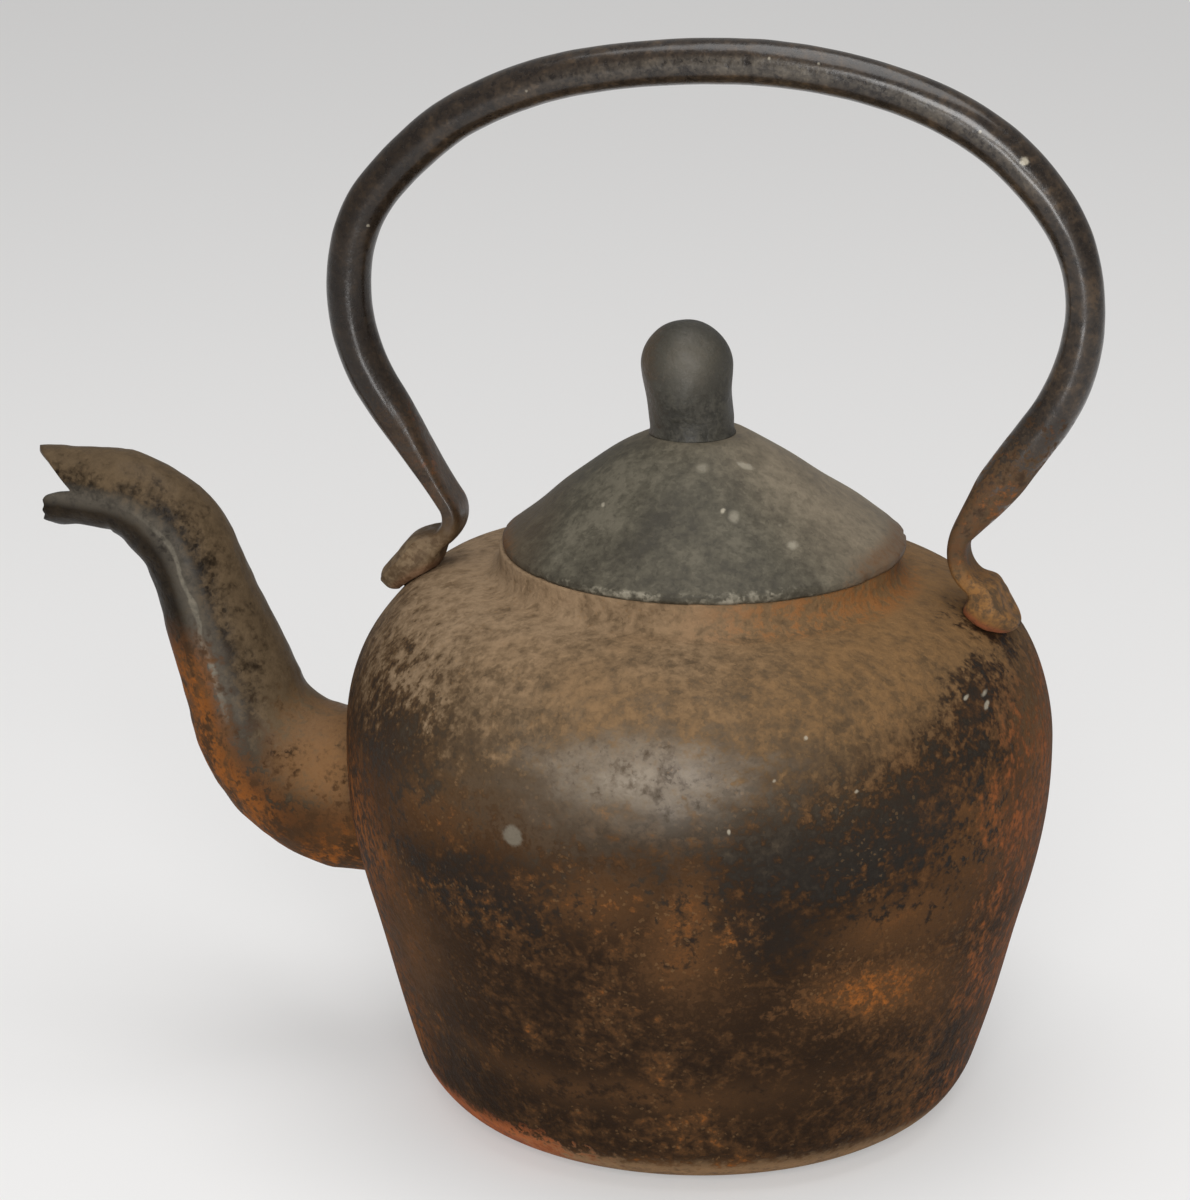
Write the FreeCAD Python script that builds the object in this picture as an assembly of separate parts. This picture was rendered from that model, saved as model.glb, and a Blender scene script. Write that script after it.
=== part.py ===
import FreeCAD, Part
import math
import os

# A cast iron kettle: pot, horn spout, fixed bail handle and lift-off lid with a finger knob.
# Millimetres, +Z up, origin at the centre of the flat base, spout towards -X.

# Pot
BELLY_RADIUS = 104.7
BELLY_HEIGHT = 115.5
SHOULDER_RADIUS = 48.5
FLANK_RADIUS = 180.0
FLANK_TAPER = 15.5
BASE_CORNER_RADIUS = 22.0
POT_WALL = 3.6
FLOOR_THICKNESS = 4.6

# Mouth collar
COLLAR_RADIUS = 58.7
COLLAR_WALL = 4.7
COLLAR_RISE = 7.3
COLLAR_FILLET = 6.5

# Lid
LID_OVERHANG = 0.3
LID_RIM_THICKNESS = 2.2
LID_CONE_HEIGHT = 31.5
LID_CROWN = 1.3
LID_WALL = 3.2
LID_LAND_RADIUS = 13.8
LID_LAND_THICKNESS = 4.2
SKIRT_DEPTH = 8.0
SKIRT_WALL = 2.8
SKIRT_CLEARANCE = 0.8

# Lid knob and its washer
KNOB_BASE_RADIUS = 12.3
KNOB_NECK_RADIUS = 11.7
KNOB_NECK_HEIGHT = 7.0
KNOB_BALL_RADIUS = 13.1
KNOB_BALL_HEIGHT = 20.0
KNOB_BALL_JOIN = 2.0
KNOB_LEAN = 8.0
KNOB_OFFSET = 1.6
TENON_RADIUS = 4.0
TENON_CLEARANCE = 0.1
WASHER_RADIUS = 9.0
WASHER_THICKNESS = 1.6
PEEN_RADIUS = 6.0
PEEN_HEIGHT = 2.2

# Spout
SPOUT_ROOT_HEIGHT = 85.5
SPOUT_ROOT_RADIUS = 25.0
SPOUT_THROAT_RADIUS = 17.5
SPOUT_NECK_RADIUS = 13.3
SPOUT_TIP_RADIUS = 10.8
SPOUT_WALL = 3.0
SPOUT_STUB = 6.3
SPOUT_ELBOW_INSIDE = 14.5
SPOUT_RISE_ANGLE = 70.0
SPOUT_RISER = 45.5
SPOUT_BEND_RADIUS = 27.0
SPOUT_NOSE_ANGLE = 5.0
SPOUT_NOSE = 23.5
SPIGOT_RADIUS = 20.0
SPIGOT_WALL = 3.0
SPIGOT_CLEARANCE = 0.1
BEAK_DEPTH = 12.0
BEAK_RISE = 1.8
BEAK_UPPER_LIP = 1.2
BEAK_LOWER_LIP = 1.6

# Bail handle
BAR_RADIUS = 6.3
HAND_ROOM = 70.0
BAIL_APEX_OFFSET = 12.0
BAIL_WAIST_RISE_FRONT = 67.6
BAIL_WAIST_RISE_REAR = 72.6
BAIL_BULGE_FRONT = 30.4
BAIL_BULGE_REAR = 34.8
BAIL_TUCK_FRONT = 14.5
BAIL_TUCK_REAR = 12.0
BAIL_LOWER_RADIUS = 48.0
BAIL_LID_ROOM = 13.0
BAIL_TAPER = 24.0
NECK_BEND_RADIUS = 8.0
NECK_THICKNESS = 6.4
NECK_WIDTH = 16.0
HEEL_RISE = 8.0
HEEL_THICKNESS = 6.0
HEEL_WIDTH = 14.0
PALM_LENGTH = 26.5
PALM_WIDTH = 20.0
PALM_DEPTH = 14.0
PALM_RISE = 4.5
PALM_TILT = 7.0
PALM_HEEL = 5.0
PALM_SEAT_GAP = 0.1

# Palm rivets
RIVET_RADIUS = 2.4
RIVET_CLEARANCE = 0.1
RIVET_PITCH = 8.4
RIVET_SET_DOWN = 2.2
RIVET_TAPER = 9.0
RIVET_SINK = 0.2
RIVET_TAIL_RADIUS = 4.6
RIVET_TAIL_HEIGHT = 2.2

FRONT = -1
REAR = 1
ELBOW_RINGS = 7
BEND_RINGS = 7
PAST = 20.0
TURN = 360.0
ALONG_Y = FreeCAD.Vector(0, 1, 0)

# Places worked out from the sizes
TAPER = math.radians(FLANK_TAPER)
SHOULDER_CENTRE = BELLY_RADIUS - SHOULDER_RADIUS
COLLAR_TOP = BELLY_HEIGHT + SHOULDER_RADIUS + COLLAR_RISE
MOUTH_RADIUS = COLLAR_RADIUS - COLLAR_WALL
LID_RADIUS = COLLAR_RADIUS + LID_OVERHANG
LID_EDGE_TOP = COLLAR_TOP + LID_RIM_THICKNESS
LAND_TOP = LID_EDGE_TOP + LID_CONE_HEIGHT
LAND_UNDER = LAND_TOP - LID_LAND_THICKNESS
KNOB_TOP = LAND_TOP + KNOB_BALL_HEIGHT * math.cos(math.radians(KNOB_LEAN)) + KNOB_BALL_RADIUS
BAIL_APEX = KNOB_TOP + HAND_ROOM + BAR_RADIUS
HEEL_RADIUS = SHOULDER_RADIUS + PALM_SEAT_GAP + HEEL_RISE
NECK_REACH = LID_RADIUS + BAIL_LID_ROOM + NECK_THICKNESS / 2
NECK_OUT = NECK_REACH + NECK_BEND_RADIUS - SHOULDER_CENTRE
HEEL_ANGLE = math.acos(NECK_OUT / (HEEL_RADIUS + NECK_BEND_RADIUS))
PALM_ANGLE = HEEL_ANGLE - (PALM_LENGTH / 2 - PALM_HEEL) / HEEL_RADIUS


def point(x, z):
    return FreeCAD.Vector(x, 0, z)


def polar(centre, radius, angle):
    """Point at an angle above the outward direction from a centre given as a point of the XZ plane."""
    return centre + point(radius * math.cos(angle), radius * math.sin(angle))


def line(a, b):
    return Part.LineSegment(a, b).toShape()


def arc(a, middle, b):
    return Part.Arc(a, middle, b).toShape()


def arc_about(centre, radius, start, end):
    return arc(*(polar(centre, radius, angle) for angle in (start, (start + end) / 2, end)))


def dome_edge(radius, top, height):
    """Arc of a hammered end, a cap of a ball: from its rim down to its lowest point on the axis."""
    ball = (radius**2 + height**2) / (2 * height)
    centre = point(0, top - height + ball)
    return arc_about(centre, ball, math.asin((height - ball) / ball), -math.pi / 2)


def face_of(edges):
    return Part.Face(Part.Wire(Part.__sortEdges__(edges)))


def polygon(corners):
    return face_of([line(a, b) for a, b in zip(corners, corners[1:] + corners[:1])])


def turned(edges):
    """Solid turned about the vertical axis from an outline in the XZ plane."""
    return face_of(edges).revolve(point(0, 0), point(0, 1), TURN)


def turned_about(edges, foot, direction):
    """Solid turned about +Z, then stood on a foot point with its axis along a direction."""
    solid = turned(edges)
    solid.Placement = FreeCAD.Placement(foot, FreeCAD.Rotation(point(0, 1), direction))
    return solid


def stretch(centre, first, second, third):
    """Matrix that carries the unit axes to three directions of any length about a centre."""
    return FreeCAD.Matrix(
        first.x, second.x, third.x, centre.x,
        first.y, second.y, third.y, centre.y,
        first.z, second.z, third.z, centre.z,
        0, 0, 0, 1)


def oval_wire(centre, across, half_width, half_depth):
    """Ellipse with its width along Y and its depth along a direction of the XZ plane."""
    frame = stretch(centre, across * half_depth, ALONG_Y * half_width, across.cross(ALONG_Y))
    return Part.Wire(Part.makeCircle(1)).transformGeometry(frame)


# Pot
def flank_edges(inset, floor):
    """Floor, base corner, straight flank and lower belly, moved inwards by an inset."""
    flank_centre = point(BELLY_RADIUS - FLANK_RADIUS, BELLY_HEIGHT)
    flank_end = polar(flank_centre, FLANK_RADIUS - inset, -TAPER)
    corner_radius = BASE_CORNER_RADIUS - inset
    corner_height = floor + corner_radius
    flank_at_corner = flank_end.x - (flank_end.z - corner_height) * math.tan(TAPER)
    corner = point(flank_at_corner - corner_radius / math.cos(TAPER), corner_height)
    return [
        line(point(0, floor), polar(corner, corner_radius, -math.pi / 2)),
        arc_about(corner, corner_radius, -math.pi / 2, -TAPER),
        line(polar(corner, corner_radius, -TAPER), flank_end),
        arc_about(flank_centre, FLANK_RADIUS - inset, -TAPER, 0),
    ]


def pot_envelope():
    """Solid of the pot's outside: flank, shoulder, concave fillet and collar."""
    shoulder = point(SHOULDER_CENTRE, BELLY_HEIGHT)
    fillet_across = COLLAR_RADIUS + COLLAR_FILLET - SHOULDER_CENTRE
    fillet_angle = math.acos(fillet_across / (SHOULDER_RADIUS + COLLAR_FILLET))
    fillet = polar(shoulder, SHOULDER_RADIUS + COLLAR_FILLET, fillet_angle)
    collar_foot = polar(fillet, COLLAR_FILLET, math.pi)
    return turned(flank_edges(0, 0) + [
        arc_about(shoulder, SHOULDER_RADIUS, 0, fillet_angle),
        arc_about(fillet, COLLAR_FILLET, math.pi + fillet_angle, math.pi),
        line(collar_foot, point(COLLAR_RADIUS, COLLAR_TOP)),
        line(point(COLLAR_RADIUS, COLLAR_TOP), point(0, COLLAR_TOP)),
        line(point(0, COLLAR_TOP), point(0, 0)),
    ])


def pot_cavity():
    """Solid of the space inside the pot, up through the mouth."""
    shoulder = point(SHOULDER_CENTRE, BELLY_HEIGHT)
    inner = SHOULDER_RADIUS - POT_WALL
    mouth_angle = math.acos((MOUTH_RADIUS - SHOULDER_CENTRE) / inner)
    top = COLLAR_TOP + PAST
    return turned(flank_edges(POT_WALL, FLOOR_THICKNESS) + [
        arc_about(shoulder, inner, 0, mouth_angle),
        line(polar(shoulder, inner, mouth_angle), point(MOUTH_RADIUS, top)),
        line(point(MOUTH_RADIUS, top), point(0, top)),
        line(point(0, top), point(0, FLOOR_THICKNESS)),
    ])


def spigot_cylinder(radius):
    """Cylinder along -X through the pot wall at the spout's root."""
    length = BELLY_RADIUS + SPOUT_STUB
    return Part.makeCylinder(radius, length, point(0, SPOUT_ROOT_HEIGHT), point(-1, 0))


def kettle_body(envelope, cavity):
    pot = envelope.cut(cavity).cut(spigot_cylinder(SPIGOT_RADIUS + SPIGOT_CLEARANCE))
    for side in (FRONT, REAR):
        for angle in rivet_angles():
            pot = pot.cut(rivet_solid(side, angle, RIVET_CLEARANCE))
    return pot


# Spout
def spout_ring(place, heading, radius):
    """Circle across the spout, at a place given as distance out along -X and height."""
    out, height = place
    return oval_wire(point(-out, height), point(math.sin(heading), math.cos(heading)), radius, radius)


def shares(count):
    return [step / count for step in range(1, count + 1)]


def ahead(place, heading, distance):
    return place[0] + distance * math.cos(heading), place[1] + distance * math.sin(heading)


def spout_rings(inset, root_radius):
    """Rings of the horn from inside the pot to past its tip.

    The elbow swings about a pivot above the root, the riser runs straight, then the neck bends over
    and the nose runs out.
    """
    rise = math.radians(SPOUT_RISE_ANGLE)
    nose = math.radians(SPOUT_NOSE_ANGLE)
    throat = SPOUT_THROAT_RADIUS - inset
    neck = SPOUT_NECK_RADIUS - inset
    tip = SPOUT_TIP_RADIUS - inset
    pivot = (BELLY_RADIUS + SPOUT_STUB, SPOUT_ROOT_HEIGHT + SPOUT_ELBOW_INSIDE + SPOUT_ROOT_RADIUS)
    rings = [spout_ring((SHOULDER_CENTRE, SPOUT_ROOT_HEIGHT), 0, root_radius)]
    for share in [0] + shares(ELBOW_RINGS):
        heading = rise * share
        outside = SPOUT_ROOT_RADIUS + (SPOUT_THROAT_RADIUS - SPOUT_ROOT_RADIUS) * share
        place = ahead(pivot, heading - math.pi / 2, SPOUT_ELBOW_INSIDE + outside)
        rings.append(spout_ring(place, heading, root_radius + (throat - root_radius) * share))
    riser_top = ahead(place, rise, SPOUT_RISER)
    rings.append(spout_ring(riser_top, rise, neck))
    bend = ahead(riser_top, rise - math.pi / 2, SPOUT_BEND_RADIUS)
    run = SPOUT_BEND_RADIUS * (rise - nose) + SPOUT_NOSE
    for share in shares(BEND_RINGS):
        heading = rise + (nose - rise) * share
        place = ahead(bend, heading + math.pi / 2, SPOUT_BEND_RADIUS)
        gone = SPOUT_BEND_RADIUS * (rise - heading) / run
        rings.append(spout_ring(place, heading, neck + (tip - neck) * gone))
    rings.append(spout_ring(ahead(place, nose, SPOUT_NOSE), nose, tip))
    if inset:
        rings.append(spout_ring(ahead(place, nose, SPOUT_NOSE + SPOUT_WALL), nose, tip))
    return rings, ahead(place, nose, SPOUT_NOSE)


def beak_notch(tip):
    """Wedge that splits the nose into an upper and a lower lip, seen from the side."""
    out, height = tip
    apex = point(-(out - BEAK_DEPTH), height + BEAK_RISE)
    upper = point(-out, height + SPOUT_TIP_RADIUS - BEAK_UPPER_LIP)
    lower = point(-out, height - SPOUT_TIP_RADIUS + BEAK_LOWER_LIP)
    past_upper = apex + (upper - apex) * 2
    past_lower = apex + (lower - apex) * 2
    width = 2 * SPOUT_NECK_RADIUS
    wedge = polygon([apex, past_upper, past_lower])
    wedge.translate(ALONG_Y * -width)
    return wedge.extrude(ALONG_Y * (2 * width))


def spout(envelope, cavity):
    outer_rings, tip = spout_rings(0, SPOUT_ROOT_RADIUS)
    bore_rings, _ = spout_rings(SPOUT_WALL, SPIGOT_RADIUS - SPIGOT_WALL)
    horn = Part.makeLoft(outer_rings, True, True).cut(envelope)
    spigot = spigot_cylinder(SPIGOT_RADIUS).cut(cavity)
    bore = Part.makeLoft(bore_rings, True, True)
    return horn.fuse(spigot).cut(bore).cut(beak_notch(tip)).removeSplitter()


# Bail handle
def to_side(side, p):
    return point(side * p.x, p.z)


def bail_leg(side, bulge, waist_rise, tuck):
    """Centreline of one half of the bail, from its apex to the palm's heel, as edges and neck stations.

    A wide top arc runs into a side arc whose widest point is the waist. Below the waist a lower arc
    turns inwards to a straight leg, and the neck bends back outwards onto the pot's shoulder.
    """
    shoulder = point(SHOULDER_CENTRE, BELLY_HEIGHT)
    neck = polar(shoulder, HEEL_RADIUS + NECK_BEND_RADIUS, HEEL_ANGLE)
    apex = point(side * BAIL_APEX_OFFSET, BAIL_APEX)
    waist = point(NECK_REACH + bulge, neck.z + waist_rise)
    span = waist.x - apex.x
    drop = apex.z - waist.z
    side_radius = drop - tuck
    top_radius = (span**2 + drop**2 - 2 * span * side_radius) / (2 * tuck)
    top_centre = apex - point(0, top_radius)
    side_centre = waist - point(side_radius, 0)
    joint = math.atan2(side_centre.z - top_centre.z, side_centre.x - top_centre.x)
    lower_centre = waist - point(BAIL_LOWER_RADIUS, 0)
    gap = neck - lower_centre
    swing = math.acos((BAIL_LOWER_RADIUS + NECK_BEND_RADIUS) / gap.Length)
    leave = math.atan2(gap.z, gap.x) + swing
    leg_end = polar(neck, NECK_BEND_RADIUS, leave + math.pi)
    leg_way = point(-math.sin(leave), math.cos(leave))
    leg_start = polar(lower_centre, BAIL_LOWER_RADIUS, leave)
    taper_start = leg_end + leg_way * BAIL_TAPER
    bends = [
        (top_centre, top_radius, math.pi / 2, joint),
        (side_centre, side_radius, joint, 0),
        (lower_centre, BAIL_LOWER_RADIUS, 0, leave),
    ]
    edges = []
    for centre, radius, start, end in bends:
        three = [polar(centre, radius, angle) for angle in (start, (start + end) / 2, end)]
        edges.append(arc(*(to_side(side, p) for p in three)))
    edges.append(line(to_side(side, leg_start), to_side(side, taper_start)))
    stations = [(taper_start, leave), (leg_end + leg_way * (BAIL_TAPER / 2), leave), (leg_end, leave)]
    for angle in ((leave + HEEL_ANGLE) / 2, HEEL_ANGLE):
        stations.append((polar(neck, NECK_BEND_RADIUS, angle + math.pi), angle))
    return edges, stations


def neck_solid(side, stations):
    """Round bar hammered flat: ellipses that widen and thin towards the palm."""
    widths = (BAR_RADIUS, (BAR_RADIUS + NECK_WIDTH / 2) / 2, NECK_WIDTH / 2,
              (NECK_WIDTH + HEEL_WIDTH) / 4, HEEL_WIDTH / 2)
    depths = (BAR_RADIUS, (BAR_RADIUS + NECK_THICKNESS / 2) / 2, NECK_THICKNESS / 2,
              (NECK_THICKNESS + HEEL_THICKNESS) / 4, HEEL_THICKNESS / 2)
    rings = []
    for (place, angle), width, depth in zip(stations, widths, depths):
        across = point(side * math.cos(angle), math.sin(angle))
        rings.append(oval_wire(to_side(side, place), across, width, depth))
    return Part.makeLoft(rings, True)


def palm_seat():
    """Upper half of the pot, filled to its axis and grown by the gap under the palms."""
    shoulder = point(SHOULDER_CENTRE, BELLY_HEIGHT)
    radius = SHOULDER_RADIUS + PALM_SEAT_GAP
    top = point(0, BELLY_HEIGHT + radius)
    return turned([
        arc_about(shoulder, radius, 0, math.pi / 2),
        line(polar(shoulder, radius, math.pi / 2), top),
        line(top, point(0, BELLY_HEIGHT)),
        line(point(0, BELLY_HEIGHT), polar(shoulder, radius, 0)),
    ])


def palm_dome(side, inset=0.0):
    """Ellipsoid of a palm before the pot cuts it: long way up the slope, heel end tilted off the pot."""
    centre = polar(point(SHOULDER_CENTRE, BELLY_HEIGHT), SHOULDER_RADIUS + PALM_RISE, PALM_ANGLE)
    lean = PALM_ANGLE - math.radians(PALM_TILT)
    outward = point(side * math.cos(lean), math.sin(lean)) * (PALM_DEPTH / 2 - inset)
    across = ALONG_Y * side * (PALM_WIDTH / 2 - inset)
    upslope = point(-side * math.sin(lean), math.cos(lean)) * (PALM_LENGTH / 2 - inset)
    return Part.makeSphere(1).transformGeometry(stretch(to_side(side, centre), outward, across, upslope))


def bail_handle():
    seat = palm_seat()
    front_edges, front_stations = bail_leg(
        FRONT, BAIL_BULGE_FRONT, BAIL_WAIST_RISE_FRONT, BAIL_TUCK_FRONT)
    rear_edges, rear_stations = bail_leg(
        REAR, BAIL_BULGE_REAR, BAIL_WAIST_RISE_REAR, BAIL_TUCK_REAR)
    path = Part.Wire(front_edges[::-1] + rear_edges)
    start = to_side(FRONT, front_stations[0][0])
    angle = front_stations[0][1]
    along = point(-FRONT * math.sin(angle), math.cos(angle))
    ring = Part.Wire(Part.makeCircle(BAR_RADIUS, start, along))
    bail = path.makePipeShell([ring], True, False)
    for side, stations in ((FRONT, front_stations), (REAR, rear_stations)):
        bail = bail.fuse(neck_solid(side, stations)).fuse(palm_dome(side).cut(seat))
        for rivet_angle in rivet_angles():
            bail = bail.cut(rivet_solid(side, rivet_angle, RIVET_CLEARANCE))
    return bail.removeSplitter()


# Palm rivets
def rivet_angles():
    """Angles on the shoulder arc of the two rivets of a palm."""
    middle = PALM_ANGLE - RIVET_SET_DOWN / SHOULDER_RADIUS
    half = RIVET_PITCH / 2 / SHOULDER_RADIUS
    return (middle - half, middle + half)


def rivet_solid(side, angle, clearance=0.0):
    """Rivet through pot wall and palm: domed tail inside, tapered end that runs on past the palm's face.

    Its hole is the same form with a clearance.
    """
    shank = RIVET_RADIUS + clearance
    end = shank + PAST * math.tan(math.radians(RIVET_TAPER))
    tail_bed = RIVET_TAIL_RADIUS**2 / (2 * (SHOULDER_RADIUS - POT_WALL)) + PALM_SEAT_GAP
    tail_top = -POT_WALL - tail_bed
    outline = [
        line(point(0, PAST), point(end, PAST)),
        line(point(end, PAST), point(shank, 0)),
        line(point(shank, 0), point(shank, tail_top)),
        line(point(shank, tail_top), point(RIVET_TAIL_RADIUS, tail_top)),
        dome_edge(RIVET_TAIL_RADIUS, tail_top, RIVET_TAIL_HEIGHT),
        line(point(0, tail_top - RIVET_TAIL_HEIGHT), point(0, PAST)),
    ]
    foot = to_side(side, polar(point(SHOULDER_CENTRE, BELLY_HEIGHT), SHOULDER_RADIUS, angle))
    return turned_about(outline, foot, point(side * math.cos(angle), math.sin(angle)))


def palm_rivets(side):
    """Two rivets with their ends dressed a little below the palm's face."""
    kept = palm_seat().fuse(palm_dome(side, RIVET_SINK))
    rivets = [rivet_solid(side, angle).common(kept).removeSplitter() for angle in rivet_angles()]
    return Part.Compound([solid for rivet in rivets for solid in rivet.Solids])


# Lid
def lid():
    """Cone with a crowned side, a flat land for the knob, a rim and a skirt inside the mouth."""
    rim = point(LID_RADIUS, LID_EDGE_TOP)
    land = point(LID_LAND_RADIUS, LAND_TOP)
    chord = land - rim
    outwards = point(-chord.z, chord.x) * (-1 / chord.Length)
    crown = (rim + land) * 0.5 + outwards * LID_CROWN
    side_radius = (chord.Length**2 / 4 + LID_CROWN**2) / (2 * LID_CROWN)
    side_centre = crown - outwards * side_radius
    under_radius = side_radius - LID_WALL
    skirt_out = MOUTH_RADIUS - SKIRT_CLEARANCE
    skirt_in = skirt_out - SKIRT_WALL
    low_angle = math.acos((skirt_in - side_centre.x) / under_radius)
    high_angle = math.asin((LAND_UNDER - side_centre.z) / under_radius)
    under_low = polar(side_centre, under_radius, low_angle)
    under_high = polar(side_centre, under_radius, high_angle)
    hole = TENON_RADIUS + TENON_CLEARANCE
    skirt_end = COLLAR_TOP - SKIRT_DEPTH
    return turned([
        line(point(hole, LAND_TOP), land),
        arc(land, crown, rim),
        line(rim, point(LID_RADIUS, COLLAR_TOP)),
        line(point(LID_RADIUS, COLLAR_TOP), point(skirt_out, COLLAR_TOP)),
        line(point(skirt_out, COLLAR_TOP), point(skirt_out, skirt_end)),
        line(point(skirt_out, skirt_end), point(skirt_in, skirt_end)),
        line(point(skirt_in, skirt_end), under_low),
        arc_about(side_centre, under_radius, low_angle, high_angle),
        line(under_high, point(hole, LAND_UNDER)),
        line(point(hole, LAND_UNDER), point(hole, LAND_TOP)),
    ])


def lid_knob():
    """Finger knob that leans towards the spout, with a straight tenon peened under the washer."""
    join_height = KNOB_BALL_HEIGHT - KNOB_BALL_JOIN
    join = point(math.sqrt(KNOB_BALL_RADIUS**2 - KNOB_BALL_JOIN**2), join_height)
    foot_depth = KNOB_BASE_RADIUS * math.tan(math.radians(KNOB_LEAN)) + KNOB_NECK_HEIGHT
    ball = point(0, KNOB_BALL_HEIGHT)
    base = point(KNOB_BASE_RADIUS, 0)
    outline = [
        line(point(0, -foot_depth), point(KNOB_BASE_RADIUS, -foot_depth)),
        line(point(KNOB_BASE_RADIUS, -foot_depth), base),
        arc(base, point(KNOB_NECK_RADIUS, KNOB_NECK_HEIGHT), join),
        arc_about(ball, KNOB_BALL_RADIUS, -math.asin(KNOB_BALL_JOIN / KNOB_BALL_RADIUS), math.pi / 2),
        line(polar(ball, KNOB_BALL_RADIUS, math.pi / 2), point(0, -foot_depth)),
    ]
    lean = math.radians(KNOB_LEAN)
    knob = turned_about(outline, point(-KNOB_OFFSET, LAND_TOP), point(-math.sin(lean), math.cos(lean)))
    knob = knob.cut(Part.makeCylinder(LID_RADIUS, PAST, point(0, LAND_TOP - PAST)))
    peen_top = LAND_UNDER - WASHER_THICKNESS
    peen_end = peen_top - PEEN_HEIGHT
    tenon = turned([
        line(point(0, LAND_TOP), point(TENON_RADIUS, LAND_TOP)),
        line(point(TENON_RADIUS, LAND_TOP), point(TENON_RADIUS, peen_top)),
        line(point(TENON_RADIUS, peen_top), point(PEEN_RADIUS, peen_top)),
        dome_edge(PEEN_RADIUS, peen_top, PEEN_HEIGHT),
        line(point(0, peen_end), point(0, LAND_TOP)),
    ])
    return knob.fuse(tenon).removeSplitter()


def knob_washer():
    foot = point(0, LAND_UNDER - WASHER_THICKNESS)
    disc = Part.makeCylinder(WASHER_RADIUS, WASHER_THICKNESS, foot)
    return disc.cut(Part.makeCylinder(TENON_RADIUS + TENON_CLEARANCE, WASHER_THICKNESS, foot))


def main():
    envelope = pot_envelope()
    cavity = pot_cavity()
    nodes = {
        "kettle_body": kettle_body(envelope, cavity),
        "spout": spout(envelope, cavity),
        "bail_handle": bail_handle(),
        "front_palm_rivets": palm_rivets(FRONT),
        "rear_palm_rivets": palm_rivets(REAR),
        "lid": lid(),
        "lid_knob": lid_knob(),
        "knob_washer": knob_washer(),
    }
    os.makedirs("parts", exist_ok=True)
    for name, shape in nodes.items():
        shape.exportStep(os.path.join("parts", name + ".step"))
        box = shape.optimalBoundingBox(True, False)
        print(name, "solids", len(shape.Solids), "valid", shape.isValid(), "volume", round(shape.Volume),
              "x", round(box.XMin, 1), round(box.XMax, 1), "z", round(box.ZMin, 1), round(box.ZMax, 1))


main()
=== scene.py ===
import functools
import math

import bmesh
import bpy
import numpy as np
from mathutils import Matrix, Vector


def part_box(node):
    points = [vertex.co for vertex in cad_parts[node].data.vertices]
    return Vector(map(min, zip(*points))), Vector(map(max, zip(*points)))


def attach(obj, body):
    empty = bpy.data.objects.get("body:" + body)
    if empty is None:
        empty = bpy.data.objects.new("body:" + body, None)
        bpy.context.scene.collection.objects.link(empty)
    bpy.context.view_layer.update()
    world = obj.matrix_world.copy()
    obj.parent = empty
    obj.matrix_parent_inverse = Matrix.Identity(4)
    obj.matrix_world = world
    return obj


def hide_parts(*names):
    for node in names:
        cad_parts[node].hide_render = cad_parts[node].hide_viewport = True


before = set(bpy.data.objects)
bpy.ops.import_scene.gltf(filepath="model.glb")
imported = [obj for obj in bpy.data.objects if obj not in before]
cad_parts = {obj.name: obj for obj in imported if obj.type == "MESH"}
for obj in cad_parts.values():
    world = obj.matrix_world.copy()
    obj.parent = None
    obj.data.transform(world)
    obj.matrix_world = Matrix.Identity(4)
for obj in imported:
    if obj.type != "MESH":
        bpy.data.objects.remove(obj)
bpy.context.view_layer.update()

# A rusty hearth kettle: pot, horn spout, fixed bail and a lift-off lid with a crooked knob.
# Metres, +Z up, spout towards -X. Sizes are those of the solids, from their boxes where one gives them.
# A BAND is the middle and width of a hump, an EASE the two ends of a smooth step,
# and a GRAIN the length and seed of a waviness.
TURN = 2 * math.pi
SQUARE = math.pi / 2
FRONT = -1
REAR = 1
FINE = 0.0016
COARSE = 0.004
SEAM = 1e-6

POT_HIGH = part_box("kettle_body")[1]
LID_LOW, LID_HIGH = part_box("lid")
KNOB_LOW, KNOB_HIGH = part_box("lid_knob")
BAIL_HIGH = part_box("bail_handle")[1]

# Pot
BELLY_RADIUS = POT_HIGH.x
COLLAR_TOP = POT_HIGH.z
BELLY_HEIGHT = 0.1155
SHOULDER_RADIUS = 0.0485
FLANK_RADIUS = 0.180
FLANK_TAPER = math.radians(15.5)
BASE_CORNER_RADIUS = 0.022
POT_WALL = 0.0036
FLOOR_THICKNESS = 0.0046
COLLAR_RADIUS = 0.0587
MOUTH_RADIUS = 0.054
COLLAR_FILLET = 0.0065
LIP_ROUND = 0.0008
SHOULDER_CENTRE = BELLY_RADIUS - SHOULDER_RADIUS
SHOULDER_FULLNESS = 0.0008
SHOULDER_FLATNESS = 0.0013
FRONT_FULLNESS = 0.0012
REAR_FLATNESS = 0.0014
FULL_BAND = (math.radians(40), math.radians(18))
FLAT_BAND = (math.radians(88), math.radians(16))
FRONT_BAND = (math.radians(55), math.radians(10))
REAR_BAND = (math.radians(66), math.radians(14))
POT_COLUMNS = 384
POT_WAVE = 0.0005
POT_GRAIN = (0.06, 11)
BASE_EASE = (0, 0.02)
COLLAR_EASE = (COLLAR_TOP - 0.012, COLLAR_TOP - 0.004)

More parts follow.
